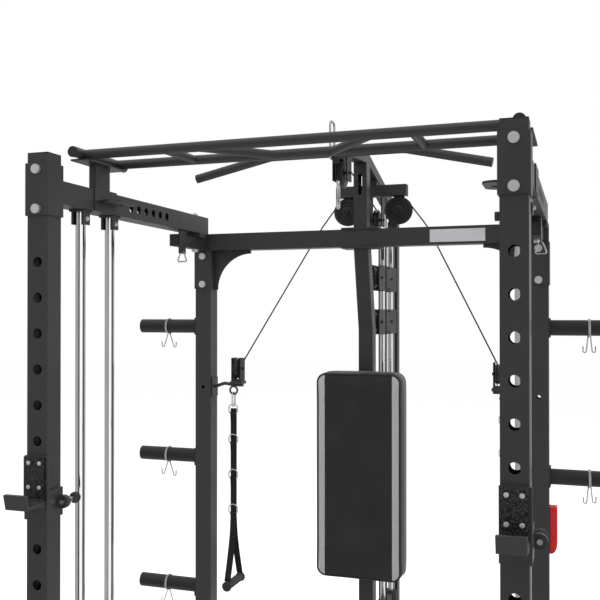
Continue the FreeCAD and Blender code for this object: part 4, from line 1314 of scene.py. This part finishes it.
@dataclass
class StrapHandle:
    """A webbing handle: the strap, its D rings, sewn tabs and stitches, and the foam grip.

    The ring bars hang at drops below rise over the top of the CAD strap. The two legs start lap
    over the fork, which is leg over the strap's foot, and end spread from the middle. A plain
    ring is told by its box. A D ring's bar is straight over flat of its width and turns up at
    heel. The tab's points are distances from the strap and from its bar: its foot, its bend and
    its tucked end; the fold stands fold_off before the strap.
    """

    palette: Palette
    side: Side
    wide: float = 0.024
    thick: float = 0.0024
    rise: float = 0.028
    drops: tuple[float, ...] = (0.0429, 0.152, 0.279, 0.405)
    leg: float = 0.19
    lap: float = 0.03
    spread: float = 0.0595
    bow: float = 0.003
    wire: float = 0.0022
    ring_wide: float = 0.03
    ring_deep: float = 0.01
    ring_tall: float = 0.04
    flat: float = 0.75
    heel: Pair = (0.95, 0.0015)
    tab: tuple[Pair, Pair, Pair] = ((-0.0024, -0.034), (-0.0048, -0.014), (-0.0021, -0.006))
    tape: float = 0.0016
    fold: float = 0.0033
    fold_off: float = 0.004
    tacks: tuple[float, ...] = (0.020, 0.030)
    stitch: float = 0.003
    thread: float = 0.00045
    cap: float = 0.0062
    foam_share: float = 15 / 18
    low: Vector = field(init=False)
    high: Vector = field(init=False)

    def __post_init__(self) -> None:
        """Reads the CAD strap's box."""
        self.low, self.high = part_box("strap_" + self.side.value)

    def build(self) -> list[Piece]:
        """Builds the strap, the tabs, the stitches, the grip and the rings.

        Returns:
            The pieces.
        """
        word = self.side.value
        strap = self.strap("webbing_" + word)
        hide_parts("strap_" + word)
        made = remade("handle_links_" + word, self.d_ring)
        rings = self.palette.coat(new_piece("d_rings_" + word, made), Surface.CHROME)
        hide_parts("handle_links_" + word)
        tabs = self.tabs("ring_tabs_" + word)
        threads = self.stitches("stitches_" + word)
        grip = self.grip("foam_grip_" + word, *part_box("grip_" + word))
        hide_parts("grip_" + word)
        for piece, name in ((strap, "web_strap"), (tabs, "web_strap"), (threads, "web_strap"),
                            (grip, "black_rubber"), (rings, "chrome_plate")):
            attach(piece, "handle_" + word)
        return [strap, tabs, threads, grip, rings]

    def at(self, y: float, z: float, x: float = 0.0) -> Vector:
        """A point by its distances from the strap's centre line and its height."""
        return Vector(((self.low.x + self.high.x) / 2 + x, (self.low.y + self.high.y) / 2 + y, z))

    def d_ring(self, made: Mesh, low: Vector, high: Vector) -> bool:
        """Bends one D ring, its arc upwards, inside a plain ring's box.

        Args:
            made: the bmesh that takes the faces.
            low: the box's lowest corner.
            high: the box's highest corner.

        Returns:
            False when the solid is no plain ring.
        """
        size = high - low
        if size.y >= self.ring_deep or size.x <= self.ring_wide or size.z >= self.ring_tall:
            return False
        centre = (low + high) / 2
        half = size.x / 2 - self.wire
        foot = low.z + self.wire
        top = high.z - self.wire - half
        heel, rise = self.heel
        points = [(part * half, foot) for part in (-self.flat, 0.0, self.flat)]
        points += [(heel * half, foot + rise)]
        points += [(half * math.cos(turn), top + half * math.sin(turn))
                   for turn in spaced(0.0, math.pi, 17)]
        points += [(-heel * half, foot + rise)]
        path = [Vector((centre.x + x, centre.y, z)) for x, z in points]
        sweep(made, path, round_section(self.wire), Y_AXIS, True)
        return True

    def levels(self) -> list[float]:
        """The heights of the ring bars."""
        return [self.high.z + self.rise - drop for drop in self.drops]

    def strap(self, name: str) -> Piece:
        """Makes the strap and its two legs.

        Args:
            name: the piece's name.

        Returns:
            The strap.
        """
        made = bmesh.new()
        section = flat_section(self.wide, self.thick)
        fork = self.low.z + self.leg
        near = self.thick * 0.55
        trunk = [self.at(0.0, z) for z in spaced(self.high.z, fork + 0.004, 30)]
        sweep(made, trunk, section, X_AXIS)
        for way in (-1, 1):
            points = []
            for part in spaced(0.0, 1.0, 25):
                out = near + (self.spread - near) * part ** 1.06
                out -= self.bow * math.sin(math.pi * part)
                drop = self.lap * min(1.0, part * 6) + (self.leg - 0.001) * part
                points.append(self.at(way * out, fork + self.lap - drop))
            sweep(made, points, section, X_AXIS)
        return self.palette.coat(new_piece(name, made), Surface.WEBBING)

    def tabs(self, name: str) -> Piece:
        """Makes the folded tab that holds each ring against the strap.

        Args:
            name: the piece's name.

        Returns:
            The tabs as one piece.
        """
        made = bmesh.new()
        section = flat_section(self.wide - 0.002, self.tape)
        loop = [(-self.fold_off - self.fold * math.cos(turn), self.fold * math.sin(turn))
                for turn in spaced(0.0, math.pi, 9)]
        for bar in self.levels():
            path = [self.at(y, bar + z) for y, z in (*self.tab[:2], *loop, self.tab[2])]
            sweep(made, path, section, X_AXIS)
        return self.palette.coat(new_piece(name, made), Surface.WEBBING)

    def stitches(self, name: str) -> Piece:
        """Makes the bar tacks across the tabs.

        Args:
            name: the piece's name.

        Returns:
            The stitches as one piece.
        """
        made = bmesh.new()
        section = round_section(self.thread, 6)
        one = (Vector((-0.001, 0.0, -0.0006)), Vector((0.0, -0.0005, 0.0)),
               Vector((0.001, 0.0, 0.0006)))
        for bar in self.levels():
            for drop in self.tacks:
                for k in range(-3, 4):
                    place = self.at(-0.0038, bar - drop, self.stitch * k)
                    sweep(made, [place + point for point in one], section, Y_AXIS)
        return self.palette.coat(new_piece(name, made), Surface.THREAD)

    def grip(self, name: str, low: Vector, high: Vector) -> Piece:
        """Makes the foam grip and its end caps.

        Args:
            name: the piece's name.
            low: the CAD grip's lowest corner.
            high: its highest corner.

        Returns:
            The grip.
        """
        centre = (low + high) / 2
        half = (high.y - low.y) / 2
        big = (high.z - low.z) / 2
        small = big * self.foam_share
        inner = half - self.cap
        rim = big - 0.0002
        end = [(-half, big * 0.55), (-half + 0.0006, big * 0.86), (-half + 0.0022, rim),
               (-inner - 0.0012, rim), (-inner, big * 0.9), (-inner + 0.0004, small - 0.0004)]
        foam = [(-inner + 0.001 + (2 * inner - 0.002) * part,
                 small - 0.0006 + 0.0006 * math.sin(math.pi * part))
                for part in spaced(0.0, 1.0, 21)]
        made = bmesh.new()
        profile = end + foam + [(-along, radius) for along, radius in reversed(end)]
        turned(made, profile, centre, (Y_AXIS, X_AXIS, Z_AXIS), 40)
        piece = self.palette.coat(new_piece(name, made), Surface.FOAM, Surface.MOULDED)
        for face in piece.data.polygons:
            face.material_index = int(abs(face.center.y - centre.y) > inner)
        return piece


# ---------------------------------------------------------------- studio
@dataclass(frozen=True)
class Lamp:
    """A soft square lamp: where it hangs, its side in metres and its power."""

    name: str
    place: Point
    size: float
    watts: float

    def hang(self, aim: Point) -> None:
        """Hangs the lamp.

        Args:
            aim: the point that it faces.
        """
        data = bpy.data.lights.new(self.name, "AREA")
        data.shape = "SQUARE"
        data.size = self.size
        data.energy = self.watts
        lamp = bpy.data.objects.new(self.name, data)
        lamp.location = self.place
        view = Vector(aim) - Vector(self.place)
        lamp.rotation_euler = view.to_track_quat("-Z", "Y").to_euler()
        lamp.visible_glossy = False
        bpy.context.scene.collection.objects.link(lamp)


@dataclass
class Studio:
    """The floor, the light and the camera.

    Each card is a compass direction in degrees with the brightness that metal mirrors there;
    gain lifts them all, and overhead is what it mirrors from high and low.
    """

    eye: Point = (0.7235, -2.4287, 1.691)
    pitch: float = 90.436
    yaw: float = 19.656
    lens: float = 52.41
    shift: Pair = (0.0455, 0.0134)
    aim: Point = (0.0, 0.1, 1.2)
    lamps: tuple[Lamp, ...] = (Lamp("side_lamp", (5.2, 3.4, 2.6), 3.4, 330.0),
                               Lamp("top_lamp", (-0.6, -0.6, 5.2), 3.0, 120.0),
                               Lamp("front_lamp", (-3.6, -4.6, 3.2), 2.6, 35.0))
    world: float = 0.55
    pale: float = 0.86
    lift: float = 0.50
    floor_radius: float = 30.0
    cards: tuple[Pair, ...] = (
        (-180.0, 0.36), (-96.0, 0.36), (-90.0, 0.06), (-78.0, 0.06), (-71.0, 1.0), (-14.0, 1.0),
        (-6.0, 0.09), (36.0, 0.09), (44.0, 0.55), (116.0, 0.55), (128.0, 0.36), (180.0, 0.36))
    gain: float = 1.12
    overhead: float = 0.7

    def build(self) -> None:
        """Builds the floor, the world, the lamps and the camera."""
        bpy.context.scene.view_settings.view_transform = "Standard"
        self.floor()
        self.sky()
        for lamp in self.lamps:
            lamp.hang(self.aim)
        self.camera()

    def floor(self) -> None:
        """Lays a pale floor that keeps the cage's shadow."""
        made = bmesh.new()
        bmesh.ops.create_circle(made, cap_ends=True, segments=96, radius=self.floor_radius)
        piece = new_piece("studio_floor", made, False)
        material = bpy.data.materials.new("pale_floor")
        material.use_nodes = True
        tree = Tree(material.node_tree)
        path = tree.add("LightPath")
        seen = tree.math("MAXIMUM", path.outputs["Is Camera Ray"], path.outputs["Is Glossy Ray"])
        surface = tree.add("BsdfPrincipled", Roughness=0.7, Base_Color=(*[self.pale] * 3, 1.0),
                           Emission_Color=WHITE,
                           Emission_Strength=tree.math("MULTIPLY", seen, self.lift))
        tree.add("OutputMaterial", Surface=surface.outputs["BSDF"])
        piece.data.materials.append(material)
        piece.visible_glossy = False

    def sky(self) -> None:
        """Sets a white surround; what it mirrors in bright metal is toned by dark cards."""
        world = bpy.data.worlds.new("white_surround")
        bpy.context.scene.world = world
        world.use_nodes = True
        tree = Tree(world.node_tree)
        path = tree.add("LightPath").outputs
        seen = tree.math("MAXIMUM", path["Is Camera Ray"], path["Is Transmission Ray"])
        plain = tree.add("MapRange", Value=seen, To_Min=self.world, To_Max=1.0)
        level = tree.mix(path["Is Glossy Ray"], plain.outputs["Result"], self.mirrored(tree),
                         colours=False)
        back = tree.add("Background", Color=WHITE, Strength=level)
        tree.add("OutputWorld", Surface=back.outputs["Background"])

    def mirrored(self, tree: Tree) -> Socket:
        """Makes the brightness that bright metal mirrors, by compass direction and height.

        Args:
            tree: the world's tree.

        Returns:
            The brightness.
        """
        place = tree.add("TexCoord").outputs["Generated"]
        axes = tree.add("SeparateXYZ", Vector=place).outputs
        turn = tree.math("ARCTAN2", axes["Y"], axes["X"])
        part = tree.math("ADD", tree.math("DIVIDE", turn, TURN), 0.5)
        ramp = tree.add("ValToRGB", Fac=part)
        stops = ramp.color_ramp.elements
        while len(stops) > 1:
            stops.remove(stops[-1])
        for index, (angle, value) in enumerate(self.cards):
            where = (angle + 180.0) / 360.0
            stop = stops.new(where) if index else stops[0]
            stop.position = where
            stop.color = (value, value, value, 1.0)
        above = tree.ramp(axes["Z"], 0.3, 0.7)
        below = tree.ramp(tree.math("MULTIPLY", axes["Z"], -1.0), 0.55, 0.9)
        around = tree.math("MULTIPLY", ramp.outputs["Color"], self.gain)
        away = tree.math("ADD", above, below, True)
        return tree.mix(away, around, self.overhead, colours=False)

    def camera(self) -> None:
        """Sets the camera up."""
        data = bpy.data.cameras.new("front_view")
        data.sensor_width = 36.0
        data.lens = self.lens
        data.shift_x, data.shift_y = self.shift
        data.clip_end = 200.0
        camera = bpy.data.objects.new("front_view", data)
        camera.location = self.eye
        camera.rotation_euler = (math.radians(self.pitch), 0.0, math.radians(self.yaw))
        bpy.context.scene.collection.objects.link(camera)
        bpy.context.scene.camera = camera


def main() -> None:
    """Builds and dresses every piece in order."""
    Studio().build()
    LOG.info("studio ready")
    effects = Effects()
    effects.build()
    palette = Palette(effects)
    palette.build()
    LOG.info("%d finishes ready", len(palette.made))
    LOG.info("%d nodes dressed", Steelwork(palette).dress())
    for maker in (BoltHeads, SpringClips, SideCover, BackPad):
        LOG.info("%s built", maker(palette).build().name)
    for side in Side:
        for piece in StrapHandle(palette, side).build():
            LOG.info("%s built", piece.name)


if __name__ == "__main__":
    main()
